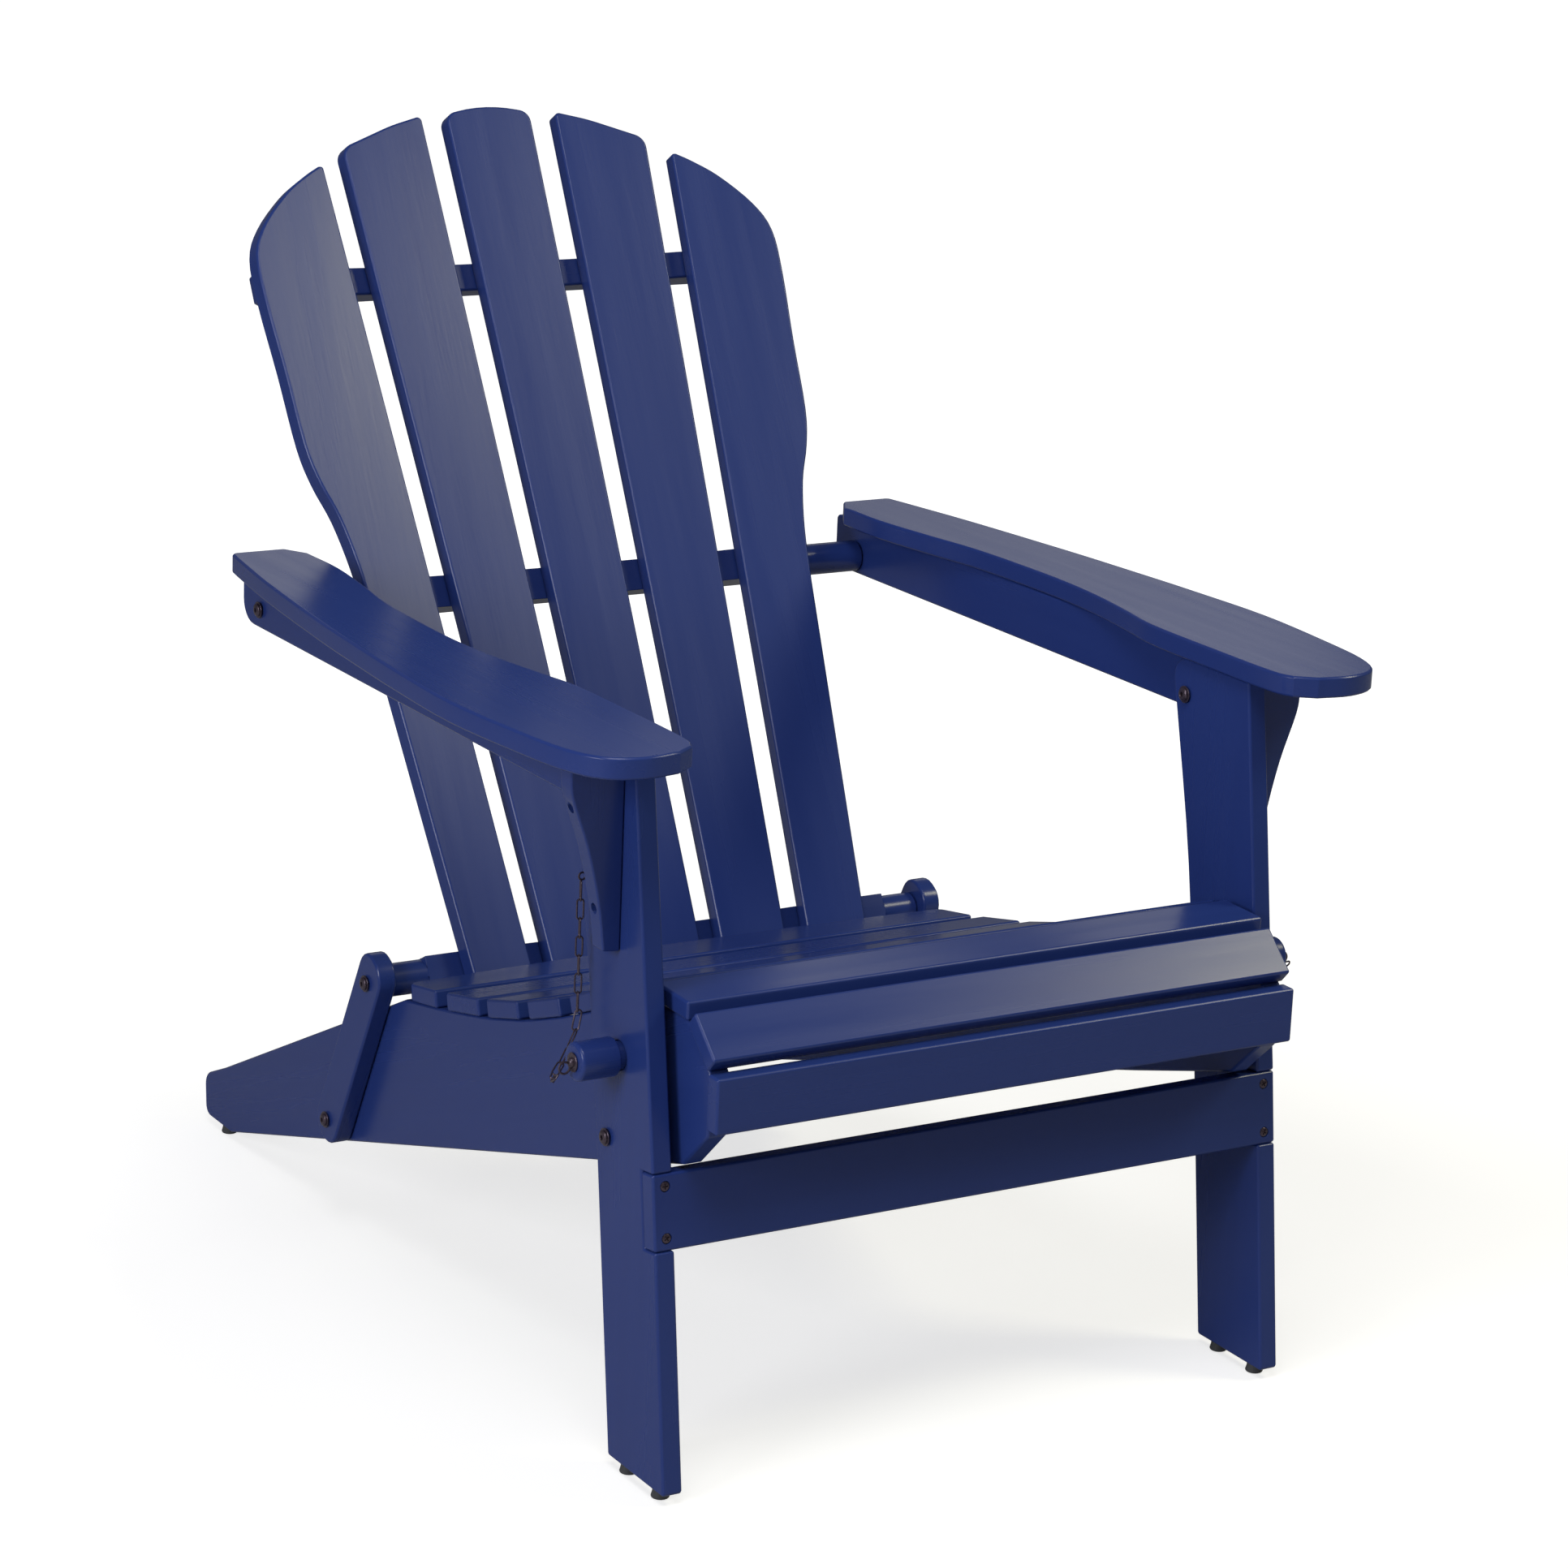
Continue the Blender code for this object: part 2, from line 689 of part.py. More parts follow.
def centre_slat_outline():
    foot, top = 0.0318, 0.0416
    return filleted((
        (-foot, SLAT_FOOT, 0), (foot, SLAT_FOOT, 0), (top, 0.7575, 0.011),
        (0, 0.7665, 0.14), (-top, 0.7575, 0.011),
    ))


def inner_slat_outline():
    return filleted((
        (0.0521, SLAT_FOOT, 0), (0.1141, SLAT_FOOT, 0), (0.1509, 0.7275, 0.013),
        (0.0980, 0.7480, 0.20), (0.0667, 0.7565, 0.004),
    ))


def outer_slat_outline():
    """The outermost slat widens into a shoulder above the arms."""
    shoulder = smooth((
        (0.2163, 0.3000), (0.2215, 0.3500), (0.2302, 0.3930), (0.2420, 0.4260),
        (0.2490, 0.4600), (0.2526, 0.5255), (0.2572, 0.5900), (0.2563, 0.6310),
        (0.2430, 0.6580), (0.2159, 0.6860), (0.1931, 0.7020), (0.1780, 0.7105),
    ), 4)
    return filleted((
        (0.1352, SLAT_FOOT, 0), (0.1920, SLAT_FOOT, 0), *sharp(shoulder), (0.1735, 0.7105, 0),
    ))


def build_back_slat(name, outline, side, middle, forward, turn, parent):
    """A back slat with its back face `forward` of the back line, turned about its own length."""
    lean_out = math.atan2(middle[1] - middle[0], 0.7)
    local = Matrix.Translation((side * middle[0], 0, forward + BOARD / 2))
    local @= Matrix.Rotation(-side * lean_out, 4, "Z")
    local @= Matrix.Rotation(-side * turn, 4, "Y")
    local @= Matrix.Rotation(side * lean_out, 4, "Z")
    local @= Matrix.Translation((-side * middle[0], 0, 0))
    mesh = plate_mesh(name, mirrored(outline, side), BOARD)
    mesh.transform(local)
    place, rotation = back_matrix(0)
    slat = add_object(name, mesh, NAVY_PAINT, place, rotation, parent)
    soften(slat)


def bar_curve(spread, outset=0.0):
    """The hollow front of a crossbar, as (x, forward) points; higher bars are flatter."""
    radius = BAR_CURVE_RADIUS * spread ** 2
    reach = math.sqrt(2 * radius * (BAR_RADIUS + outset - BAR_FRONT))
    steps = 16
    points = []
    for step in range(steps + 1):
        x = reach * (2 * step / steps - 1)
        points.append(Vector((x, BAR_FRONT + x * x / (2 * radius))))
    return points


def build_round_bar(name, along, half_length, spread, parent):
    """A crossbar with round ends and a hollow front that the slats lie on."""
    place, _ = back_matrix(along)
    mesh = cylinder_mesh(name, BAR_RADIUS, 2 * half_length, 24)
    mesh.transform(Matrix.Rotation(math.pi / 2, 4, "Y"))
    turn = (-BACK_LEAN, 0, 0)
    bar = add_object(name, mesh, NAVY_PAINT, place, turn, parent)
    soften(bar, 0.001)
    block = box_mesh(name + "_block", (2 * BAR_BLOCK_HALF, 2 * BAR_RADIUS, 2 * BAR_RADIUS))
    combine(bar, block, "UNION", place, turn)
    lip = 0.004
    front = bar_curve(spread, lip)
    outline = [*front, Vector((front[-1].x, 0.03)), Vector((front[0].x, 0.03))]
    hollow = plate_mesh(name + "_hollow", outline, 4 * BAR_RADIUS)
    combine(bar, hollow, "DIFFERENCE", place, (math.pi - BACK_LEAN, 0, 0))
    return bar, place


def build_upper_bar(spread, parent):
    half_height = 0.0125
    bottom = -BAR_RADIUS
    end = UPPER_BAR_HALF
    front = [point for point in bar_curve(spread) if abs(point.x) < end - 0.014]
    outline = [
        Vector((-end + 0.008, bottom)), Vector((-end, bottom + 0.008)), Vector((-end, 0.006)),
        *front,
        Vector((end, 0.006)), Vector((end, bottom + 0.008)), Vector((end - 0.008, bottom)),
    ]
    mesh = plate_mesh("upper_crossbar", outline, 2 * half_height)
    place, _ = back_matrix(UPPER_BAR_AT)
    rotation = (math.pi - BACK_LEAN, 0, 0)
    bar = add_object("upper_crossbar", mesh, NAVY_PAINT, place, rotation, parent)
    soften(bar)


def build_back(parent):
    build_back_slat("back_slat_3", centre_slat_outline(), 1, (0, 0), 0.0033, 0, parent)
    for number, label in ((2, "right"), (4, "left")):
        build_back_slat(
            f"back_slat_{number}", inner_slat_outline(), SIDES[label],
            (0.0840, 0.1076), 0.0058, math.radians(2.6), parent,
        )
    for number, label in ((1, "right"), (5, "left")):
        build_back_slat(
            f"back_slat_{number}", outer_slat_outline(), SIDES[label],
            (0.1652, 0.2100), 0.0125, math.radians(4.9), parent,
        )
    middle_spread = 1.127
    upper_spread = 1.236
    middle_bar, middle_place = build_round_bar(
        "middle_crossbar", BACK_LENGTH, MIDDLE_BAR_HALF, middle_spread, parent
    )
    bottom_bar, bottom_place = build_round_bar(
        "bottom_crossbar", 0, BOTTOM_BAR_HALF, 1, parent
    )
    build_upper_bar(upper_spread, parent)
    screw_in = 0.012
    for label, side in SIDES.items():
        for bar, place, half in (
            (middle_bar, middle_place, MIDDLE_BAR_HALF), (bottom_bar, bottom_place, BOTTOM_BAR_HALF)
        ):
            drill(bar, side * half, place.yz, SHANK_RADIUS + GAP, 2 * screw_in + 0.004)
        reach = ARM_RAIL_OUT - MIDDLE_BAR_HALF + screw_in
        bolt(f"arm_rear_bolt_{label}", ARM_RAIL_OUT, ARM_REAR_PIVOT, reach, side, 1, parent)
        reach = LINK_OUT - BOTTOM_BAR_HALF + screw_in
        bolt(f"back_bolt_{label}", LINK_OUT, BACK_PIVOT, reach, side, 1, parent)


# ---------------------------------------------------------------- arms


def arm_outline():
    """The left arm from above, as (x, y): a broad paddle with a waist for the sitter's hips."""
    nose_and_outer = smooth((
        (0.2850, 0.0155), (0.3150, 0.0115), (0.3430, 0.0230), (0.3590, 0.0560),
        (0.3680, 0.1180), (0.3750, 0.2050), (0.3715, 0.3000), (0.3655, 0.3850),
        (0.3580, 0.4700), (0.3430, 0.6000), (0.3290, 0.6900),
    ), 4)
    inner = smooth((
        (0.2645, 0.6900), (0.2640, 0.6300), (0.2725, 0.5600), (0.2815, 0.5000),
        (0.2850, 0.4200), (0.2845, 0.3600), (0.2795, 0.3050), (0.2715, 0.2560),
        (0.2635, 0.2100), (0.2620, 0.1400), (0.2625, 0.0500), (0.2690, 0.0270),
    ), 4)
    return filleted((
        *sharp(nose_and_outer), (0.3250, 0.7120, 0.006), (0.2770, 0.7120, 0.004), *sharp(inner),
    ))


def arm_rail_outline():
    top = ARM_UNDERSIDE - GAP
    return filleted((
        (0.1185, ARM_RAIL_UNDERSIDE, 0.008), (0.7370, ARM_RAIL_UNDERSIDE, 0.020),
        (0.7370, top, 0.004), (0.1185, top, 0),
    ))


def build_arm(label, side, parent):
    mesh = plate_mesh("arm_" + label, mirrored(arm_outline(), side), BOARD)
    arm = add_object(
        "arm_" + label, mesh, NAVY_PAINT, (0, 0, ARM_UNDERSIDE + BOARD / 2), (0, 0, 0), parent
    )
    soften(arm)
    rail = edge_board(
        "arm_rail_" + label, arm_rail_outline(), ARM_RAIL_IN, BOARD, side, ARM_REAR_PIVOT, parent
    )
    drill(rail, side * (ARM_RAIL_IN + BOARD / 2), ARM_REAR_PIVOT, HOLE_RADIUS, 2 * BOARD)
    drill(rail, side * ARM_RAIL_IN, ARM_FRONT_PIVOT, HOLE_RADIUS, 0.024)


# ---------------------------------------------------------------- the chair


def build_chair():
    build_rails()
    build_seat()
    legs = add_axis("leg_fold_axis", 0, LEG_PIVOT)
    build_legs(legs)
    back = add_axis("back_axis", 0, BACK_PIVOT)
    build_back(back)
    for label, side in SIDES.items():
        pin = add_axis(f"pin_axis_{label}", side * LEG_OUT, PIN_AXIS)
        build_pin(label, side, pin)
        build_chain(label, side, pin)
        build_chain_eye(label, side, legs)
        link = add_axis(f"link_axis_{label}", side * LINK_IN, LINK_PIVOT)
        build_link(label, side, link)
        arm = add_axis(f"arm_axis_{label}", side * ARM_RAIL_IN, ARM_REAR_PIVOT)
        build_arm(label, side, arm)


build_chair()
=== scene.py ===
"""Finished pieces, materials and stage for a folding adirondack chair in painted boards.

Everything is in metres, in the frame's own axes: -Y is the way the sitter faces, +Z is up and
+X is the sitter's left. Sizes that a user would change are properties in the sidebar.
"""

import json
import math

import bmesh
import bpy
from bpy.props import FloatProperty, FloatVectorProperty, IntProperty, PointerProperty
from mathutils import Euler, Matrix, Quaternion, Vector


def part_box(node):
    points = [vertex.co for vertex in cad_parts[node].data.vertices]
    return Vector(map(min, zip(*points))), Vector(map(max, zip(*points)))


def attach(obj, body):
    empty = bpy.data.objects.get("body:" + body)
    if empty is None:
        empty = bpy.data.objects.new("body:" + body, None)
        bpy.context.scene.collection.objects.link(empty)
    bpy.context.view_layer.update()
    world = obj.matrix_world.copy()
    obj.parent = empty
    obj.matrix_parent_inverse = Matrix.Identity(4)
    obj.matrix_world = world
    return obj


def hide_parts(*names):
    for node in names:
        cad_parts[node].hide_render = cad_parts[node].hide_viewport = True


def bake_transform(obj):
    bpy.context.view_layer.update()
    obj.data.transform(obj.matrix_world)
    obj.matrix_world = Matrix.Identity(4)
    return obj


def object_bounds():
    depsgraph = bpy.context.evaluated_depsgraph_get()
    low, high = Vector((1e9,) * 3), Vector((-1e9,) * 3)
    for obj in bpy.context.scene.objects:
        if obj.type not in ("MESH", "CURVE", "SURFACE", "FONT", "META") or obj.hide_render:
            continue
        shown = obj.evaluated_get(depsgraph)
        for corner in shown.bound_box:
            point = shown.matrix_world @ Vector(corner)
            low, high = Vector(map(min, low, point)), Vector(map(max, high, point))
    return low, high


bl_info = {
    "name": "Folding Adirondack Chair",
    "version": (1, 0, 0),
    "blender": (4, 5, 0),
    "location": "3D View > Sidebar > Chair",
    "description": "Builds the boards, hardware, chains and stage of a folding garden chair",
    "category": "Add Mesh",
}

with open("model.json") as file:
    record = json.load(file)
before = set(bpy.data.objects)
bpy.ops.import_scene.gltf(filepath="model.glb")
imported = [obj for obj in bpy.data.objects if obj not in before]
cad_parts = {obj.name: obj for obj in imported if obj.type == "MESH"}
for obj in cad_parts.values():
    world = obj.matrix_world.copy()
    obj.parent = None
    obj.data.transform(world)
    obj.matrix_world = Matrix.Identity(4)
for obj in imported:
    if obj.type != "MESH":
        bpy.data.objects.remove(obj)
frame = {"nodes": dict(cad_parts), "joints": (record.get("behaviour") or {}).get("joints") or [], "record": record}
CAD_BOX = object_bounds()

NODES = frame["nodes"]
SIDES = {"left": 1, "right": -1}
BACK_SLATS = [f"back_slat_{number}" for number in range(1, 6)]
SEAT_SLATS = ["front", "6", "5", "4", "3", "2", "rear"]
JOINTS = {joint["name"]: joint for joint in frame["joints"]}
SMALL = 1e-5
TINY = 1e-6
SHARP_ANGLE = 35
PAINT_SPECULAR = 0.32
GRAIN_STRETCH = 16
SURFACE_OUTPUTS = (
    ("Color", "NodeSocketColor"), ("Roughness", "NodeSocketFloat"), ("Height", "NodeSocketFloat"),
)
BRONZE = "dark_bronze_plating"
NYLON = "moulded_nylon"
APRON_THICKNESS = 0.017
LEG_LEAN = math.atan(0.1324)


# ---------------------------------------------------------------- properties


class PaintSettings(bpy.types.PropertyGroup):
    colour: FloatVectorProperty(
        name="Paint colour", description="Navy of the satin paint", subtype="COLOR",
        size=3, min=0, max=1, default=(0.0190, 0.0410, 0.2000),
    )
    worn_colour: FloatVectorProperty(
        name="Thin paint colour", description="Where the brush left less paint", subtype="COLOR",
        size=3, min=0, max=1, default=(0.0205, 0.0440, 0.2100),
    )
    roughness: FloatProperty(
        name="Paint roughness", description="Satin gloss of the paint", min=0, max=1, default=0.25
    )
    grain_depth: FloatProperty(
        name="Grain depth", description="How far the wood grain shows through the paint",
        subtype="DISTANCE", unit="LENGTH", min=0, max=0.001, default=0.00006,
    )
    edge_round: FloatProperty(
        name="Edge rounding", description="Extra rounding on each board's eased edges",
        subtype="DISTANCE", unit="LENGTH", min=0, max=0.002, default=0.0006,
    )


class HardwareSettings(bpy.types.PropertyGroup):
    bronze: FloatVectorProperty(
        name="Bronze colour", description="Dark plated bolts, screws and chain", subtype="COLOR",
        size=3, min=0, max=1, default=(0.075, 0.056, 0.078),
    )
    nylon: FloatVectorProperty(
        name="Nylon colour", description="Moulded glides under the feet", subtype="COLOR",
        size=3, min=0, max=1, default=(0.050, 0.053, 0.060),
    )
    bolt_head: FloatProperty(
        name="Bolt head", description="Radius of the button heads", subtype="DISTANCE",
        unit="LENGTH", min=0.003, max=0.012, default=0.0055,
    )
    screw_head: FloatProperty(
        name="Screw head", description="Radius of the apron screws' heads", subtype="DISTANCE",
        unit="LENGTH", min=0.002, max=0.008, default=0.0038,
    )
    link_pitch: FloatProperty(
        name="Chain pitch", description="Distance from one chain link to the next",
        subtype="DISTANCE", unit="LENGTH", min=0.004, max=0.03, default=0.0146,
    )
    link_wire: FloatProperty(
        name="Chain wire", description="Thickness of the chain's wire", subtype="DISTANCE",
        unit="LENGTH", min=0.0005, max=0.003, default=0.0014,
    )
    link_width: FloatProperty(
        name="Chain width", description="Outer width of a chain link", subtype="DISTANCE",
        unit="LENGTH", min=0.002, max=0.01, default=0.0064,
    )
    round_steps: IntProperty(
        name="Round steps", description="Facets round a turned piece", min=12, max=96, default=36
    )


class StageSettings(bpy.types.PropertyGroup):
    floor: FloatVectorProperty(
        name="Floor colour", description="Plain pale studio floor", subtype="COLOR",
        size=3, min=0, max=1, default=(0.55, 0.55, 0.55),
    )
    floor_glow: FloatProperty(
        name="Floor glow", description="Lifts the floor to white without lighting the chair",
        min=0, max=2, default=0.69,
    )
    room: FloatProperty(
        name="Room light", description="Strength of the even light from the room",
        min=0, max=5, default=0.11,
    )
    overhead: FloatProperty(
        name="Overhead light", description="Power of the wide soft box above the chair",
        subtype="POWER", unit="POWER", min=0, max=2000, default=31,
    )
    side: FloatProperty(
        name="Side light", description="Power of the soft box on the sitter's right",
        subtype="POWER", unit="POWER", min=0, max=2000, default=50,
    )
    sheen: FloatProperty(
        name="Sheen light", description="Power of the soft box mirrored in the back slats",
        subtype="POWER", unit="POWER", min=0, max=2000, default=62,
    )
    nose_sheen: FloatProperty(
        name="Nose light", description="Power of the soft box mirrored in the seat's front edge",
        subtype="POWER", unit="POWER", min=0, max=2000, default=6,
    )
    back: FloatProperty(
        name="Back light", description="Power of the soft box mirrored in the arms",
        subtype="POWER", unit="POWER", min=0, max=2000, default=5,
    )
    lens: FloatProperty(
        name="Lens", description="Focal length of the camera in millimetres", min=20, max=300,
        default=100.7,
    )
    azimuth: FloatProperty(
        name="Azimuth", description="Camera direction round the chair", subtype="ANGLE",
        unit="ROTATION", default=math.radians(-31.37),
    )
    elevation: FloatProperty(
        name="Elevation", description="Camera height angle", subtype="ANGLE", unit="ROTATION",
        default=math.radians(15.59),
    )
    roll: FloatProperty(
        name="Roll", description="Tilt of the camera about its view line", subtype="ANGLE",
        unit="ROTATION", default=math.radians(2.41),
    )
    camera_place: FloatVectorProperty(
        name="Camera place", description="Where the camera stands", subtype="TRANSLATION",
        unit="LENGTH", size=3, default=(-1.7905, -2.5965, 1.4022),
    )


class ChairSettings(bpy.types.PropertyGroup):
    paint: PointerProperty(type=PaintSettings, name="Paint", description="Painted boards")
    hardware: PointerProperty(type=HardwareSettings, name="Hardware", description="Metal parts")
    stage: PointerProperty(type=StageSettings, name="Stage", description="Floor and lights")


def settings():
    return bpy.context.scene.chair


# ---------------------------------------------------------------- node groups and materials


def new_group(name, inputs):
    """An empty surface node group, with its inputs given as (name, type, default)."""
    group = bpy.data.node_groups.new(name, "ShaderNodeTree")
    for label, kind, default in inputs:
        socket = group.interface.new_socket(label, in_out="INPUT", socket_type=kind)
        if default is not None:
            socket.default_value = default
    for label, kind in SURFACE_OUTPUTS:
        group.interface.new_socket(label, in_out="OUTPUT", socket_type=kind)
    return group, group.nodes.new("NodeGroupInput"), group.nodes.new("NodeGroupOutput")


def noise_node(nodes, scale, detail=2.0, roughness=0.5):
    noise = nodes.new("ShaderNodeTexNoise")
    noise.inputs["Scale"].default_value = scale
    noise.inputs["Detail"].default_value = detail
    noise.inputs["Roughness"].default_value = roughness
    return noise


def math_node(tree, operation, first, second):
    node = tree.nodes.new("ShaderNodeMath")
    node.operation = operation
    for socket, value in zip(node.inputs, (first, second)):
        if isinstance(value, (int, float)):
            socket.default_value = value
        else:
            tree.links.new(value, socket)
    return node.outputs[0]


def range_node(tree, value, low, high, to_low, to_high):
    node = tree.nodes.new("ShaderNodeMapRange")
    tree.links.new(value, node.inputs["Value"])
    for label, number in (
        ("From Min", low), ("From Max", high), ("To Min", to_low), ("To Max", to_high)
    ):
        if isinstance(number, (int, float)):
            node.inputs[label].default_value = number
        else:
            tree.links.new(number, node.inputs[label])
    return node.outputs[0]


def colour_mix(tree, factor, first, second):
    mix = tree.nodes.new("ShaderNodeMix")
    mix.data_type = "RGBA"
    tree.links.new(factor, mix.inputs["Factor"])
    tree.links.new(first, mix.inputs[6])
    tree.links.new(second, mix.inputs[7])
    return mix.outputs[2]


def painted_grain_group():
    """Satin paint over planed softwood. The grain runs along the X of the Vector it is given."""
    group, given, made = new_group(
        "painted_grain",
        (
            ("Vector", "NodeSocketVector", None),
            ("Paint", "NodeSocketColor", (0.02, 0.03, 0.13, 1)),
            ("Thin Paint", "NodeSocketColor", (0.03, 0.04, 0.15, 1)),
            ("Roughness", "NodeSocketFloat", 0.4),
        ),
    )
    nodes, links = group.nodes, group.links
    fibres = noise_node(nodes, 520, 3.0, 0.6)
    rings = noise_node(nodes, 75, 2.0)
    patches = noise_node(nodes, 11, 3.0)
    orange_peel = noise_node(nodes, 900, 1.0)
    for noise in (fibres, rings, patches, orange_peel):
        links.new(given.outputs["Vector"], noise.inputs["Vector"])
    grain = math_node(
        group, "ADD",
        math_node(group, "MULTIPLY", fibres.outputs["Fac"], 0.45),
        math_node(group, "MULTIPLY", rings.outputs["Fac"], 0.55),
    )
    height = math_node(
        group, "ADD", grain, math_node(group, "MULTIPLY", orange_peel.outputs["Fac"], 0.10)
    )
    links.new(height, made.inputs["Height"])
    streaks = math_node(
        group, "ADD",
        math_node(group, "MULTIPLY", patches.outputs["Fac"], 0.6),
        math_node(group, "MULTIPLY", rings.outputs["Fac"], 0.4),
    )
    thinness = range_node(group, streaks, 0.38, 0.62, 0.0, 1.0)
    colour = colour_mix(group, thinness, given.outputs["Paint"], given.outputs["Thin Paint"])
    links.new(colour, made.inputs["Color"])
    gloss = math_node(
        group, "ADD", given.outputs["Roughness"],
        range_node(group, streaks, 0.35, 0.65, -0.035, 0.045),
    )
    links.new(gloss, made.inputs["Roughness"])
    return group


def speckle_group():
    """Fine uneven plating or moulding: two tones, uneven gloss and a little height."""
    group, given, made = new_group(
        "speckle",
        (
            ("Vector", "NodeSocketVector", None),
            ("Dark", "NodeSocketColor", (0.05, 0.04, 0.03, 1)),
            ("Light", "NodeSocketColor", (0.1, 0.08, 0.07, 1)),
            ("Fineness", "NodeSocketFloat", 900),
            ("Roughness", "NodeSocketFloat", 0.4),
        ),
    )
    nodes, links = group.nodes, group.links
    spots = noise_node(nodes, 900, 3.0, 0.6)
    links.new(given.outputs["Vector"], spots.inputs["Vector"])
    links.new(given.outputs["Fineness"], spots.inputs["Scale"])
    lightness = range_node(group, spots.outputs["Fac"], 0.35, 0.65, 0.0, 1.0)
    colour = colour_mix(group, lightness, given.outputs["Dark"], given.outputs["Light"])
    links.new(colour, made.inputs["Color"])
    gloss = math_node(
        group, "ADD", given.outputs["Roughness"],
        range_node(group, spots.outputs["Fac"], 0.3, 0.7, -0.06, 0.08),
    )
    links.new(gloss, made.inputs["Roughness"])
    links.new(spots.outputs["Fac"], made.inputs["Height"])
    return group


def coated_material(name, group, values, depth, turn=(0, 0, 0), stretch=(1, 1, 1)):
    """A Principled material whose colour, gloss and bump come from one node group."""
    material = bpy.data.materials.new(name)
    material.use_nodes = True
    tree = material.node_tree
    shader = tree.nodes["Principled BSDF"]
    place = tree.nodes.new("ShaderNodeTexCoord")
    mapping = tree.nodes.new("ShaderNodeMapping")
    mapping.vector_type = "TEXTURE"
    mapping.inputs["Rotation"].default_value = turn
    mapping.inputs["Scale"].default_value = stretch
    tree.links.new(place.outputs["Object"], mapping.inputs["Vector"])
    surface = tree.nodes.new("ShaderNodeGroup")
    surface.node_tree = group
    tree.links.new(mapping.outputs["Vector"], surface.inputs["Vector"])
    for label, value in values.items():
        surface.inputs[label].default_value = value
    bump = tree.nodes.new("ShaderNodeBump")
    bump.inputs["Distance"].default_value = depth
    bump.inputs["Strength"].default_value = 1.0
    tree.links.new(surface.outputs["Height"], bump.inputs["Height"])
    tree.links.new(surface.outputs["Color"], shader.inputs["Base Color"])
    tree.links.new(surface.outputs["Roughness"], shader.inputs["Roughness"])
    tree.links.new(bump.outputs["Normal"], shader.inputs["Normal"])
    return material, shader


def slope_of(start, end):
    """The rotation that lays X along a line in the plane of Y and Z."""
    along = Vector(end) - Vector(start)
    return Vector((1, 0, 0)).rotation_difference(along).to_euler()


def paint_material(name, turn):
    """Navy satin paint with the grain along the turned X axis."""
    paint = settings().paint
    group = bpy.data.node_groups.get("painted_grain") or painted_grain_group()
    material, shader = coated_material(
        name, group,
        {
            "Paint": (*paint.colour, 1), "Thin Paint": (*paint.worn_colour, 1),
            "Roughness": paint.roughness,
        },
        paint.grain_depth, turn, (GRAIN_STRETCH, 1, 1),
    )
    shader.inputs["Specular IOR Level"].default_value = PAINT_SPECULAR
    return material


def speckled_material(name, colour, tones, fineness, roughness, depth):
    """A fine speckle between a darker and a lighter tone of one colour."""
    group = bpy.data.node_groups.get("speckle") or speckle_group()
    dark, light = ((*(value * tone for value in colour), 1) for tone in tones)
    values = {"Dark": dark, "Light": light, "Fineness": fineness, "Roughness": roughness}
    return coated_material(name, group, values, depth)


def metal_material():
    material, shader = speckled_material(
        BRONZE, settings().hardware.bronze, tones=(0.7, 1.5), fineness=1400, roughness=0.30,
        depth=0.00004,
    )
    shader.inputs["Metallic"].default_value = 0.6
    return material


def nylon_material():
    material, _ = speckled_material(
        NYLON, settings().hardware.nylon, tones=(1.0, 1.3), fineness=2200, roughness=0.58,
        depth=0.00005,
    )
    return material


def material_named(name):
    """Each finish is made once, when the first piece asks for it."""
    known = bpy.data.materials.get(name)
    if known:
        return known
    heel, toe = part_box("rail_left")
    if name == BRONZE:
        return metal_material()
    if name == NYLON:
        return nylon_material()
    grains = {
        "paint_crosswise": Euler((0, 0, 0)),
        "paint_lengthwise": Euler((0, 0, math.pi / 2)),
        "paint_upright": Euler((0, -math.pi / 2, 0)),
        "paint_rail": slope_of((0, heel.y, toe.z), (0, toe.y, heel.z)),
        "paint_back": slope_of(JOINTS["back_fold"]["pos_m"], upper_pivot()),
        "paint_link": slope_of(JOINTS["link_swing_left"]["pos_m"], link_top()),
    }
    return paint_material(name, grains[name])


def upper_pivot():
    _, y, z = JOINTS["arm_fold_left"]["pos_m"]
    return (0, y, z)


def link_top():
    x = JOINTS["link_swing_left"]["pos_m"][0]
    _, y, z = JOINTS["back_fold"]["pos_m"]
    return (x, y, z)


# ---------------------------------------------------------------- shared making


def body_of(node):
    for body, nodes in frame["record"]["behaviour"]["bodies"].items():
        if node in nodes:
            return body
    raise ValueError(f"{node} is on no body")


def add_object(name, data):
    """A new object in the scene that holds the given mesh, light or camera."""
    made = bpy.data.objects.new(name, data)
    bpy.context.scene.collection.objects.link(made)
    return made


def finished(name, edit, finish, body, nodes=(), sharp=SHARP_ANGLE):
    """Turns a bmesh into a piece that rides on a body, if any, and stands for its CAD nodes."""
    mesh = bpy.data.meshes.new(name)
    edit.to_mesh(mesh)
    edit.free()
    mesh.shade_smooth()
    mesh.set_sharp_from_angle(angle=math.radians(sharp))
    mesh.materials.append(material_named(finish))
    piece = add_object(name, mesh)
    if body:
        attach(piece, body)
    if nodes:
        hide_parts(*nodes)
    return piece


def weigh_normals(piece):
    """Keeps broad faces flat where a rounded edge meets them."""
    weighted = piece.modifiers.new("flat_faces", "WEIGHTED_NORMAL")
    weighted.keep_sharp = True
    weighted.weight = 80


def merged_node(node):
    """A CAD node's mesh with its triangles sewn together and its flats made whole."""
    edit = bmesh.new()
    edit.from_mesh(NODES[node].data)
    bmesh.ops.remove_doubles(edit, verts=edit.verts, dist=SMALL)
    bmesh.ops.dissolve_limit(
        edit, angle_limit=math.radians(0.25), verts=edit.verts, edges=edit.edges
    )
    return edit


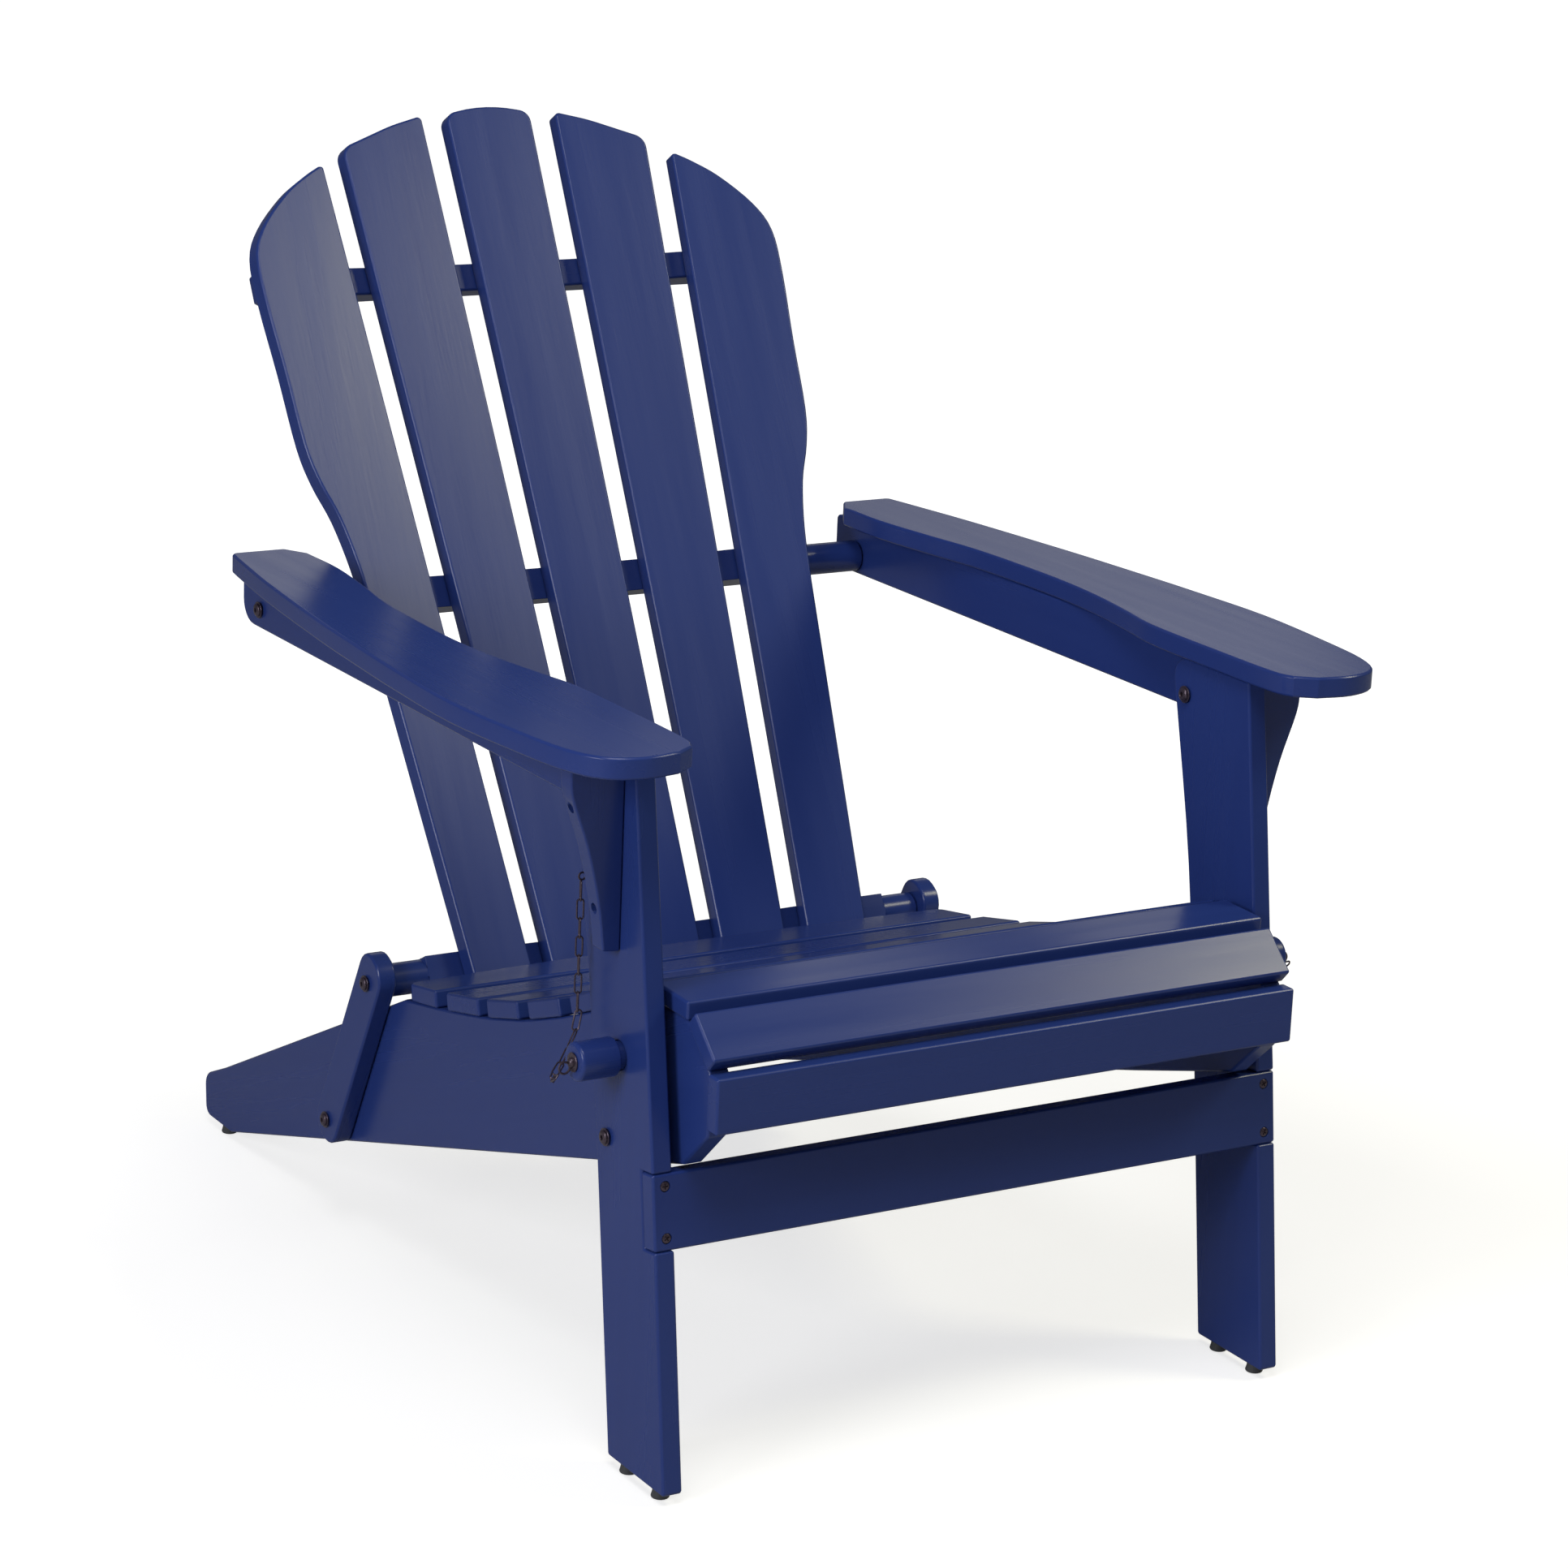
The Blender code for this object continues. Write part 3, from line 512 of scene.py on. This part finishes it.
def round_edges(edit, width, segments=2, least=20):
    edges = [
        edge for edge in edit.edges
        if edge.is_manifold and edge.calc_face_angle() > math.radians(least)
    ]
    bmesh.ops.bevel(
        edit, geom=edges, offset=width, offset_type="OFFSET", segments=segments,
        profile=0.5, affect="EDGES", clamp_overlap=False, material=-1,
    )
    bmesh.ops.remove_doubles(edit, verts=edit.verts, dist=SMALL)


def painted_board(node, finish):
    """A board with its edges rounded over and painted along its grain."""
    edit = merged_node(node)
    round_edges(edit, settings().paint.edge_round)
    board = finished("painted_" + node, edit, finish, body_of(node), [node], sharp=40)
    weigh_normals(board)
    return board


def carve(piece, cutter_edit):
    """Cuts a closed shape out of a finished piece and keeps the result in its mesh."""
    cutter_mesh = bpy.data.meshes.new("cutter")
    cutter_edit.to_mesh(cutter_mesh)
    cutter_edit.free()
    cutter = add_object("cutter", cutter_mesh)
    cut = piece.modifiers.new("cut", "BOOLEAN")
    cut.operation = "DIFFERENCE"
    cut.solver = "EXACT"
    cut.object = cutter
    piece.modifiers.move(len(piece.modifiers) - 1, 0)
    others = [modifier for modifier in piece.modifiers if modifier != cut]
    for modifier in others:
        modifier.show_viewport = False
    graph = bpy.context.evaluated_depsgraph_get()
    carved = bpy.data.meshes.new_from_object(piece.evaluated_get(graph))
    for modifier in others:
        modifier.show_viewport = True
    piece.modifiers.remove(cut)
    piece.data = carved
    carved.shade_smooth()
    carved.set_sharp_from_angle(angle=math.radians(SHARP_ANGLE))
    bpy.data.objects.remove(cutter)


def turned(profile, centre, side, steps=None):
    """A solid of revolution along X, from (radius, distance from the middle plane) points."""
    edit = bmesh.new()
    start = [edit.verts.new((side * x, 0, radius)) for radius, x in profile]
    for near, far in zip(start, start[1:]):
        edit.edges.new((near, far))
    bmesh.ops.spin(
        edit, geom=edit.verts[:] + edit.edges[:], axis=(1, 0, 0), angle=2 * math.pi,
        steps=steps or settings().hardware.round_steps, use_merge=True,
    )
    bmesh.ops.remove_doubles(edit, verts=edit.verts, dist=TINY)
    bmesh.ops.recalc_face_normals(edit, faces=edit.faces)
    bmesh.ops.translate(edit, verts=edit.verts, vec=(0, centre[0], centre[1]))
    return edit


def arc(centre_radius, centre_x, radius, start, end, steps=5):
    """Profile points on an arc; angles in degrees, from along +X towards a larger radius."""
    points = []
    for step in range(steps + 1):
        angle = math.radians(start + (end - start) * step / steps)
        points.append(
            (centre_radius + radius * math.sin(angle), centre_x + radius * math.cos(angle))
        )
    return points


def wire_ring(ring_radius, wire_radius, straight=0.0, steps=24):
    """A ring of wire round Z, drawn out along X by the straight length between its ends."""
    edit = bmesh.new()
    circle = bmesh.ops.create_circle(edit, segments=8, radius=wire_radius)["verts"]
    bmesh.ops.rotate(edit, verts=circle, matrix=Matrix.Rotation(math.pi / 2, 3, "Y"))
    bmesh.ops.translate(edit, verts=circle, vec=(0, ring_radius, 0))
    bmesh.ops.spin(
        edit, geom=edit.verts[:] + edit.edges[:], axis=(0, 0, 1), angle=2 * math.pi,
        steps=steps, use_merge=True,
    )
    bmesh.ops.remove_doubles(edit, verts=edit.verts, dist=TINY)
    bmesh.ops.recalc_face_normals(edit, faces=edit.faces)
    ends = [[v for v in edit.verts if s * v.co.x > SMALL] for s in (1, -1)]
    for sign, end in zip((1, -1), ends):
        bmesh.ops.translate(edit, verts=end, vec=(sign * straight / 2, 0, 0))
    return edit


def join_into(target, edit, matrix=Matrix.Identity(4)):
    """Adds a copy of one bmesh to another, placed by a matrix."""
    mesh = bpy.data.meshes.new("joined")
    edit.to_mesh(mesh)
    mesh.transform(matrix)
    target.from_mesh(mesh)
    bpy.data.meshes.remove(mesh)


def node_centre(node):
    low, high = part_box(node)
    return (low + high) / 2


def reach_of(node):
    """How far from the middle plane a CAD node's inner and outer ends are."""
    low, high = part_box(node)
    return sorted((abs(low.x), abs(high.x)))


# ---------------------------------------------------------------- boards


class CHAIR_OT_seat(bpy.types.Operator):
    """Seat slats, nose slat, fascia and the two long rails"""

    bl_idname = "chair.seat"
    bl_label = "Seat boards"

    def execute(self, context):
        for place in SEAT_SLATS:
            painted_board(f"seat_slat_{place}", "paint_crosswise")
        painted_board("nose_slat", "paint_crosswise")
        painted_board("front_fascia", "paint_crosswise")
        for label in SIDES:
            painted_board(f"rail_{label}", "paint_rail")
        return {"FINISHED"}


class CHAIR_OT_back(bpy.types.Operator):
    """Fanned back slats and the three crossbars behind them"""

    bl_idname = "chair.back"
    bl_label = "Back"

    def execute(self, context):
        for slat in BACK_SLATS:
            painted_board(slat, "paint_back")
        for place in ("upper", "middle", "bottom"):
            painted_board(f"{place}_crossbar", "paint_crosswise")
        return {"FINISHED"}


class CHAIR_OT_arms(bpy.types.Operator):
    """Arm boards and the rails under them"""

    bl_idname = "chair.arms"
    bl_label = "Arms"

    def execute(self, context):
        for label in SIDES:
            painted_board(f"arm_{label}", "paint_lengthwise")
            painted_board(f"arm_rail_{label}", "paint_lengthwise")
        return {"FINISHED"}


class CHAIR_OT_legs(bpy.types.Operator):
    """Legs, apron and the links at the heel"""

    bl_idname = "chair.legs"
    bl_label = "Legs and links"

    def execute(self, context):
        for label in SIDES:
            painted_board(f"leg_{label}", "paint_upright")
            painted_board(f"link_{label}", "paint_link")
        painted_board("apron", "paint_crosswise")
        return {"FINISHED"}


class CHAIR_OT_corbels(bpy.types.Operator):
    """Brackets under the arms, each with two sunk screws in its outer edge"""

    bl_idname = "chair.corbels"
    bl_label = "Corbels"

    SCREWS = ((0.3277, 0.5216), (0.3064, 0.4423))
    BORE = 0.0042
    DEPTH = 0.0085
    CLEARANCE = 0.01
    STEPS = 24

    def execute(self, context):
        for label, side in SIDES.items():
            corbel = painted_board(f"corbel_{label}", "paint_upright")
            y = node_centre(f"corbel_{label}").y
            heads = bmesh.new()
            for x, z in self.SCREWS:
                floor, mouth = x - self.DEPTH, x + self.CLEARANCE
                bore = ((0, floor), (self.BORE, floor), (self.BORE, mouth), (0, mouth))
                carve(corbel, turned(bore, (y, z), side, self.STEPS))
                low, top = floor - 0.0005, floor + 0.0018
                head = (
                    (0, top - 0.0012), (0.0010, top - 0.0012), (0.0012, top),
                    (0.0030, top - 0.0004), (0.0036, top - 0.0012), (0.0036, low), (0, low),
                )
                join_into(heads, turned(head, (y, z), side, self.STEPS))
            finished(f"corbel_screws_{label}", heads, BRONZE, "legs")
        return {"FINISHED"}


# ---------------------------------------------------------------- hardware


class CHAIR_OT_bolts(bpy.types.Operator):
    """Button-head bolts with hexagon sockets, their washers and nuts"""

    bl_idname = "chair.bolts"
    bl_label = "Bolts"

    OUTWARD = {
        "leg_bolt": 1, "link_bolt": 1, "back_bolt": 1, "arm_rear_bolt": 1, "arm_front_bolt": -1,
    }
    STACK = 0.0045
    WASHER_RADIUS = 0.007
    WASHER = 0.0010
    HEAD = 0.0024
    HEAD_RIM = 0.0007
    SHANK = 0.003
    SOCKET = 0.0021
    SOCKET_DEPTH = 0.0018
    SOCKET_EDGE = 0.0003

    def head_profile(self, face, out, tip):
        """From the socket floor round the dome and down the shank; `out` is +1 or -1."""
        head = settings().hardware.bolt_head
        seat = face + out * self.WASHER
        top = seat + out * self.HEAD
        floor = top - out * self.SOCKET_DEPTH
        dome = [
            (self.SOCKET + (head - self.SOCKET) * math.sin(angle),
             seat + out * (self.HEAD_RIM + (self.HEAD - self.HEAD_RIM) * math.cos(angle)))
            for angle in (math.radians(15 * step) for step in range(1, 7))
        ]
        return [
            (0, floor), (self.SOCKET, floor), (self.SOCKET, top - out * self.SOCKET_EDGE),
            (self.SOCKET + self.SOCKET_EDGE, top), *dome, (head - 0.0002, seat),
            (self.SHANK, seat), (self.SHANK, tip), (0, tip),
        ]

    def washer_profile(self, face, out):
        edge = 0.0002
        inner = self.SHANK + 0.0002
        outer = self.WASHER_RADIUS
        far = face + out * self.WASHER
        return [
            (inner, face), (outer - edge, face), (outer, face + out * edge),
            (outer, far - out * edge), (outer - edge, far), (inner, far), (inner, face),
        ]

    def shape_socket(self, edit, centre):
        """Draws the two rings of the round socket into a hexagon."""
        for vert in edit.verts:
            y, z = vert.co.y - centre[0], vert.co.z - centre[1]
            radius = math.hypot(y, z)
            if abs(radius - self.SOCKET) > SMALL:
                continue
            turn = (math.atan2(z, y) + math.pi / 6) % (math.pi / 3) - math.pi / 6
            grow = math.cos(math.pi / 6) / math.cos(turn)
            vert.co.y = centre[0] + y * grow
            vert.co.z = centre[1] + z * grow

    def execute(self, context):
        for kind, out in self.OUTWARD.items():
            for label, side in SIDES.items():
                node = f"{kind}_{label}"
                near, far = reach_of(node)
                head_end, tip = (far, near) if out > 0 else (near, far)
                face = head_end - out * self.STACK
                centre = node_centre(node).yz
                edit = turned(self.head_profile(face, out, tip), centre, side)
                self.shape_socket(edit, centre)
                body = body_of(node)
                finished(node + "_head", edit, BRONZE, body, [node], sharp=30)
                washer = turned(self.washer_profile(face, out), centre, side)
                finished(node + "_washer", washer, BRONZE, body)
        for label in SIDES:
            for kind in ("leg_nut", "link_nut", "leg_spacer"):
                node = f"{kind}_{label}"
                edit = merged_node(node)
                round_edges(edit, 0.0004, least=40)
                finished(node + "_eased", edit, BRONZE, body_of(node), [node])
        return {"FINISHED"}


class CHAIR_OT_apron_screws(bpy.types.Operator):
    """Cross-head screws that hold the apron to the legs"""

    bl_idname = "chair.apron_screws"
    bl_label = "Apron screws"

    FROM_EDGE = 0.0105
    FROM_TOP = 0.0095
    RECESS = 0.0016
    STEPS = 32

    def screw(self):
        """One screw head, facing +X at the origin, with a cross cut into it."""
        radius = settings().hardware.screw_head
        profile = (
            (0, 0.0002), (radius * 0.5, 0.0001), (radius - 0.0004, -0.0002),
            (radius, -0.0006), (radius, -self.RECESS), (0, -self.RECESS),
        )
        head = turned(profile, (0, 0), 1, self.STEPS)
        holder = finished("screw_form", head, BRONZE, "legs")
        for turn in (0, math.pi / 2):
            slot = bmesh.new()
            bmesh.ops.create_cube(slot, size=1.0)
            bmesh.ops.scale(slot, vec=(0.0024, radius * 1.2, 0.0010), verts=slot.verts)
            bmesh.ops.rotate(slot, verts=slot.verts, matrix=Matrix.Rotation(turn, 3, "X"))
            carve(holder, slot)
        form = bmesh.new()
        form.from_mesh(holder.data)
        bpy.data.objects.remove(holder)
        return form

    def execute(self, context):
        low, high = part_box("apron")
        middle = (low + high) / 2
        inward = Vector((0, math.cos(LEG_LEAN), -math.sin(LEG_LEAN)))
        along = Vector((0, math.sin(LEG_LEAN), math.cos(LEG_LEAN)))
        rise = APRON_THICKNESS * math.sin(LEG_LEAN)
        half_height = (high.z - low.z - rise) / 2 / math.cos(LEG_LEAN)
        face = middle - inward * (APRON_THICKNESS / 2)
        facing = Vector((1, 0, 0)).rotation_difference(-inward).to_matrix().to_4x4()
        form = self.screw()
        screws = bmesh.new()
        board = bpy.data.objects["painted_apron"]
        reach = settings().hardware.screw_head + 0.0005
        hole = ((0, -self.RECESS), (reach, -self.RECESS), (reach, 0.003), (0, 0.003))
        for index, (side, level) in enumerate(((1, 1), (1, -1), (-1, 1), (-1, -1))):
            place = face + along * level * (half_height - self.FROM_TOP)
            place.x = side * (high.x - self.FROM_EDGE)
            twist = Matrix.Rotation(math.radians(20 + 31 * index), 4, "X")
            join_into(screws, form, Matrix.Translation(place) @ facing @ twist)
            cutter = bmesh.new()
            bore = turned(hole, (0, 0), 1, self.STEPS)
            join_into(cutter, bore, Matrix.Translation(place) @ facing)
            carve(board, cutter)
        form.free()
        finished("apron_screws", screws, BRONZE, "legs")
        return {"FINISHED"}


class CHAIR_OT_pins(bpy.types.Operator):
    """Turned locking pins with the washer, screw and small ring on their ends"""

    bl_idname = "chair.pins"
    bl_label = "Locking pins"

    HANDLE = 0.015
    HANDLE_ROUND = 0.003
    SHANK = 0.011
    NECK = 0.290
    NECK_ROUND = 0.002
    TIP_BEVEL = 0.0008

    def execute(self, context):
        for label, side in SIDES.items():
            node = f"locking_pin_{label}"
            near, far = reach_of(node)
            centre = node_centre(node).yz
            end, neck, tip = self.HANDLE_ROUND, self.NECK_ROUND, self.TIP_BEVEL
            profile = [
                (0, far), *arc(self.HANDLE - end, far - end, end, 0, 90),
                *arc(self.HANDLE - neck, self.NECK + neck, neck, 90, 180),
                (self.SHANK, self.NECK), (self.SHANK, near + tip), (self.SHANK - tip, near),
                (0, near),
            ]
            edit = turned(profile, centre, side, 64)
            finished(node + "_turned", edit, "paint_crosswise", f"pin_{label}", [node])
            self.add_ring(label, side, centre, far)
        return {"FINISHED"}

    def add_ring(self, label, side, centre, end):
        node = f"pin_ring_{label}"
        face = end + 0.0003
        washer = (
            (0.0030, face), (0.0072, face), (0.0075, face + 0.0003), (0.0075, face + 0.0009),
            (0.0072, face + 0.0012), (0.0030, face + 0.0012), (0.0030, face),
        )
        hardware = turned(washer, centre, side)
        top = face + 0.0042
        screw = (
            (0, top - 0.0012), (0.0010, top - 0.0012), (0.0012, top), (0.0024, top - 0.0003),
            (0.0034, top - 0.0011), (0.0038, top - 0.0022), (0.0038, face + 0.0010),
            (0, face + 0.0010),
        )
        join_into(hardware, turned(screw, centre, side))
        ring = wire_ring(0.0045, 0.0009, 0, 32)
        place = Matrix.Translation((side * (face + 0.0066), centre[0] + 0.001, centre[1] - 0.004))
        join_into(hardware, ring, place @ Matrix.Rotation(math.pi / 2, 4, "X"))
        finished(node + "_screw", hardware, BRONZE, f"pin_{label}", [node])


class CHAIR_OT_chains(bpy.types.Operator):
    """Wire-link chains from the eyes on the legs to the rings on the pins"""

    bl_idname = "chair.chains"
    bl_label = "Chains"

    ROUTE = (
        (0.2970, 0.1360, 0.4530), (0.2970, 0.1360, 0.3450), (0.3000, 0.1350, 0.3330),
        (0.3085, 0.1305, 0.3225), (0.3180, 0.1230, 0.3150), (0.3270, 0.1150, 0.3115),
        (0.3330, 0.1060, 0.3125), (0.3350, 0.0980, 0.3165), (0.3345, 0.0930, 0.3210),
    )
    LINK_TURN = 20

    def stations(self, pitch):
        """Evenly spaced (place, direction) pairs along the route."""
        points = [Vector(point) for point in self.ROUTE]
        lengths = [(b - a).length for a, b in zip(points, points[1:])]
        count = round(sum(lengths) / pitch)
        step = sum(lengths) / count
        found = []
        for index in range(count):
            left = (index + 0.5) * step
            for start, end, length in zip(points, points[1:], lengths):
                if left <= length:
                    break
                left -= length
            direction = (end - start).normalized()
            found.append((start + direction * left, direction))
        return found, step

    def execute(self, context):
        hardware = settings().hardware
        radius = (hardware.link_width - hardware.link_wire) / 2
        stations, step = self.stations(hardware.link_pitch)
        straight = step + hardware.link_wire - 2 * radius
        for label, side in SIDES.items():
            chain = bmesh.new()
            for index, (place, direction) in enumerate(stations):
                place, direction = (
                    Vector((side * v.x, v.y, v.z)) for v in (place, direction)
                )
                link = wire_ring(radius, hardware.link_wire / 2, straight)
                quarter = math.radians(self.LINK_TURN + 90 * (index % 2))
                facing = Vector((1, 0, 0)).rotation_difference(direction)
                turn = facing @ Quaternion((1, 0, 0), quarter)
                join_into(chain, link, Matrix.Translation(place) @ turn.to_matrix().to_4x4())
                link.free()
            piece = finished(f"chain_links_{label}", chain, BRONZE, None, [f"chain_{label}"])
            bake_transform(piece)
            self.add_eye(label, side)
        return {"FINISHED"}

    def add_eye(self, label, side):
        node = f"chain_eye_{label}"
        base = reach_of(node)[0]
        _, y, z = self.ROUTE[0]
        profile = (
            (0, base + 0.0085), (0.0010, base + 0.0085), (0.0013, base + 0.0080),
            (0.0013, base + 0.0018), (0.0036, base + 0.0015), (0.0040, base + 0.0010),
            (0.0040, base), (0, base),
        )
        eye = turned(profile, (y, z + 0.006), side)
        ring = wire_ring(0.0028, 0.0008, 0, 28)
        place = Matrix.Translation((side * (base + 0.0108), y, z + 0.004))
        join_into(eye, ring, place @ Matrix.Rotation(math.pi / 2, 4, "X"))
        finished(node + "_wire", eye, BRONZE, "legs", [node])


class CHAIR_OT_glides(bpy.types.Operator):
    """Nylon glides nailed under the legs and the rails' heels"""

    bl_idname = "chair.glides"
    bl_label = "Glides"

    ROUND = 0.0015
    NECK_WIDTH = 0.86
    NECK_START = 0.7

    def execute(self, context):
        for kind in ("leg_glide_front", "leg_glide_rear", "rear_glide"):
            for label in SIDES:
                node = f"{kind}_{label}"
                low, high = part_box(node)
                radius, height = (high.x - low.x) / 2, high.z - low.z
                neck = radius * self.NECK_WIDTH
                profile = [
                    (0.0012, 0.0010), (0.0016, 0.0),
                    *arc(radius - self.ROUND, self.ROUND, self.ROUND, 180, 90),
                    (neck, height * self.NECK_START), (neck, height), (0, height),
                ]
                edit = turned(profile, (0, 0), 1, 40)
                bmesh.ops.rotate(
                    edit, verts=edit.verts, matrix=Matrix.Rotation(-math.pi / 2, 3, "Y")
                )
                centre = node_centre(node)
                bmesh.ops.translate(edit, verts=edit.verts, vec=(centre.x, centre.y, low.z))
                bmesh.ops.holes_fill(edit, edges=edit.edges)
                bmesh.ops.recalc_face_normals(edit, faces=edit.faces)
                finished(node + "_moulded", edit, NYLON, body_of(node), [node])
        return {"FINISHED"}


# ---------------------------------------------------------------- stage


class CHAIR_OT_stage(bpy.types.Operator):
    """Plain pale floor, soft studio light and the camera"""

    bl_idname = "chair.stage"
    bl_label = "Stage"

    FLOOR_HALF = 30.0
    GLOW_NEAR = 0.75
    GLOW_FAR = 2.1
    SKY = 1.05

    def add_floor(self, stage):
        edit = bmesh.new()
        bmesh.ops.create_grid(edit, x_segments=1, y_segments=1, size=self.FLOOR_HALF)
        bmesh.ops.translate(edit, verts=edit.verts, vec=(0, 0, CAD_BOX[0].z - 0.0005))
        mesh = bpy.data.meshes.new("studio_floor")
        edit.to_mesh(mesh)
        edit.free()
        material = bpy.data.materials.new("pale_floor")
        material.use_nodes = True
        tree = material.node_tree
        shader = tree.nodes["Principled BSDF"]
        shader.inputs["Base Color"].default_value = (*stage.floor, 1)
        shader.inputs["Roughness"].default_value = 0.9
        shader.inputs["Specular IOR Level"].default_value = 0.1
        shader.inputs["Emission Color"].default_value = (1, 1, 1, 1)
        place = tree.nodes.new("ShaderNodeTexCoord")
        reach = tree.nodes.new("ShaderNodeVectorMath")
        reach.operation = "LENGTH"
        tree.links.new(place.outputs["Object"], reach.inputs[0])
        spread = range_node(
            tree, reach.outputs["Value"], self.GLOW_NEAR, self.GLOW_FAR, stage.floor_glow, 1.0
        )
        path = tree.nodes.new("ShaderNodeLightPath")
        glow = math_node(tree, "MULTIPLY", path.outputs["Is Camera Ray"], spread)
        tree.links.new(glow, shader.inputs["Emission Strength"])
        mesh.materials.append(material)
        floor = add_object("studio_floor", mesh)

    def add_world(self, stage):
        """White where the camera sees past the floor, and dim for everything else."""
        world = bpy.data.worlds.new("studio")
        world.use_nodes = True
        tree = world.node_tree
        room = tree.nodes["Background"]
        room.inputs["Color"].default_value = (1, 1, 1, 1)
        path = tree.nodes.new("ShaderNodeLightPath")
        seen = path.outputs["Is Camera Ray"]
        strength = range_node(tree, seen, 0.0, 1.0, stage.room, self.SKY)
        tree.links.new(strength, room.inputs["Strength"])
        bpy.context.scene.world = world

    def add_softbox(self, name, place, target, size, power, colour=(1, 1, 1)):
        light = bpy.data.lights.new(name, "AREA")
        light.shape = "RECTANGLE"
        light.size, light.size_y = size
        light.energy = power
        light.color = colour
        lamp = add_object(name, light)
        lamp.location = place
        lamp.rotation_euler = (Vector(target) - Vector(place)).to_track_quat("-Z", "Y").to_euler()

    def add_camera(self, stage):
        azimuth, elevation = stage.azimuth, stage.elevation
        back = Vector((
            math.sin(azimuth) * math.cos(elevation), -math.cos(azimuth) * math.cos(elevation),
            math.sin(elevation),
        ))
        data = bpy.data.cameras.new("camera")
        data.lens = stage.lens
        camera = add_object("camera", data)
        camera.rotation_mode = "QUATERNION"
        camera.location = stage.camera_place
        roll = Quaternion((0, 0, 1), stage.roll)
        camera.rotation_quaternion = (-back).to_track_quat("-Z", "Y") @ roll
        bpy.context.scene.camera = camera

    def execute(self, context):
        stage = settings().stage
        self.add_floor(stage)
        self.add_world(stage)
        chair = (0, 0.4, 0.5)
        self.add_softbox("overhead", (-0.9, -0.8, 3.0), chair, (1.3, 1.3), stage.overhead)
        self.add_softbox("side", (-3.2, -0.6, 1.6), chair, (1.4, 1.4), stage.side)
        warm = (1.0, 0.95, 0.66)
        self.add_softbox("sheen", (3.25, -1.6, 3.75), chair, (1.2, 1.2), stage.sheen, warm)
        self.add_softbox("nose", (1.95, -0.5, 2.4), chair, (0.6, 0.7), stage.nose_sheen, warm)
        self.add_softbox("back", (1.7, 3.7, 1.75), chair, (2.6, 1.1), stage.back)
        self.add_camera(stage)
        bpy.context.scene.view_settings.view_transform = "Standard"
        bpy.context.scene.view_settings.look = "None"
        return {"FINISHED"}


# ---------------------------------------------------------------- panel and registration


OPERATORS = (
    CHAIR_OT_seat, CHAIR_OT_back, CHAIR_OT_arms, CHAIR_OT_legs, CHAIR_OT_corbels,
    CHAIR_OT_bolts, CHAIR_OT_apron_screws, CHAIR_OT_pins, CHAIR_OT_chains, CHAIR_OT_glides,
    CHAIR_OT_stage,
)


class CHAIR_PT_panel(bpy.types.Panel):
    """Lists the chair's settings and the operators that make its pieces"""

    bl_idname = "CHAIR_PT_panel"
    bl_label = "Folding Chair"
    bl_space_type = "VIEW_3D"
    bl_region_type = "UI"
    bl_category = "Chair"

    def draw(self, context):
        chair = context.scene.chair
        for group in (chair.paint, chair.hardware, chair.stage):
            box = self.layout.box()
            for name in group.bl_rna.properties.keys():
                if name not in ("rna_type", "name"):
                    box.prop(group, name)
        for operator in OPERATORS:
            self.layout.operator(operator.bl_idname)


CLASSES = (
    PaintSettings, HardwareSettings, StageSettings, ChairSettings, *OPERATORS, CHAIR_PT_panel
)


def register():
    for item in CLASSES:
        bpy.utils.register_class(item)
    bpy.types.Scene.chair = PointerProperty(type=ChairSettings)


def unregister():
    del bpy.types.Scene.chair
    for item in reversed(CLASSES):
        bpy.utils.unregister_class(item)


def main():
    register()
    for operator in OPERATORS:
        group, name = operator.bl_idname.split(".")
        getattr(getattr(bpy.ops, group), name)()


if __name__ == "__main__":
    main()
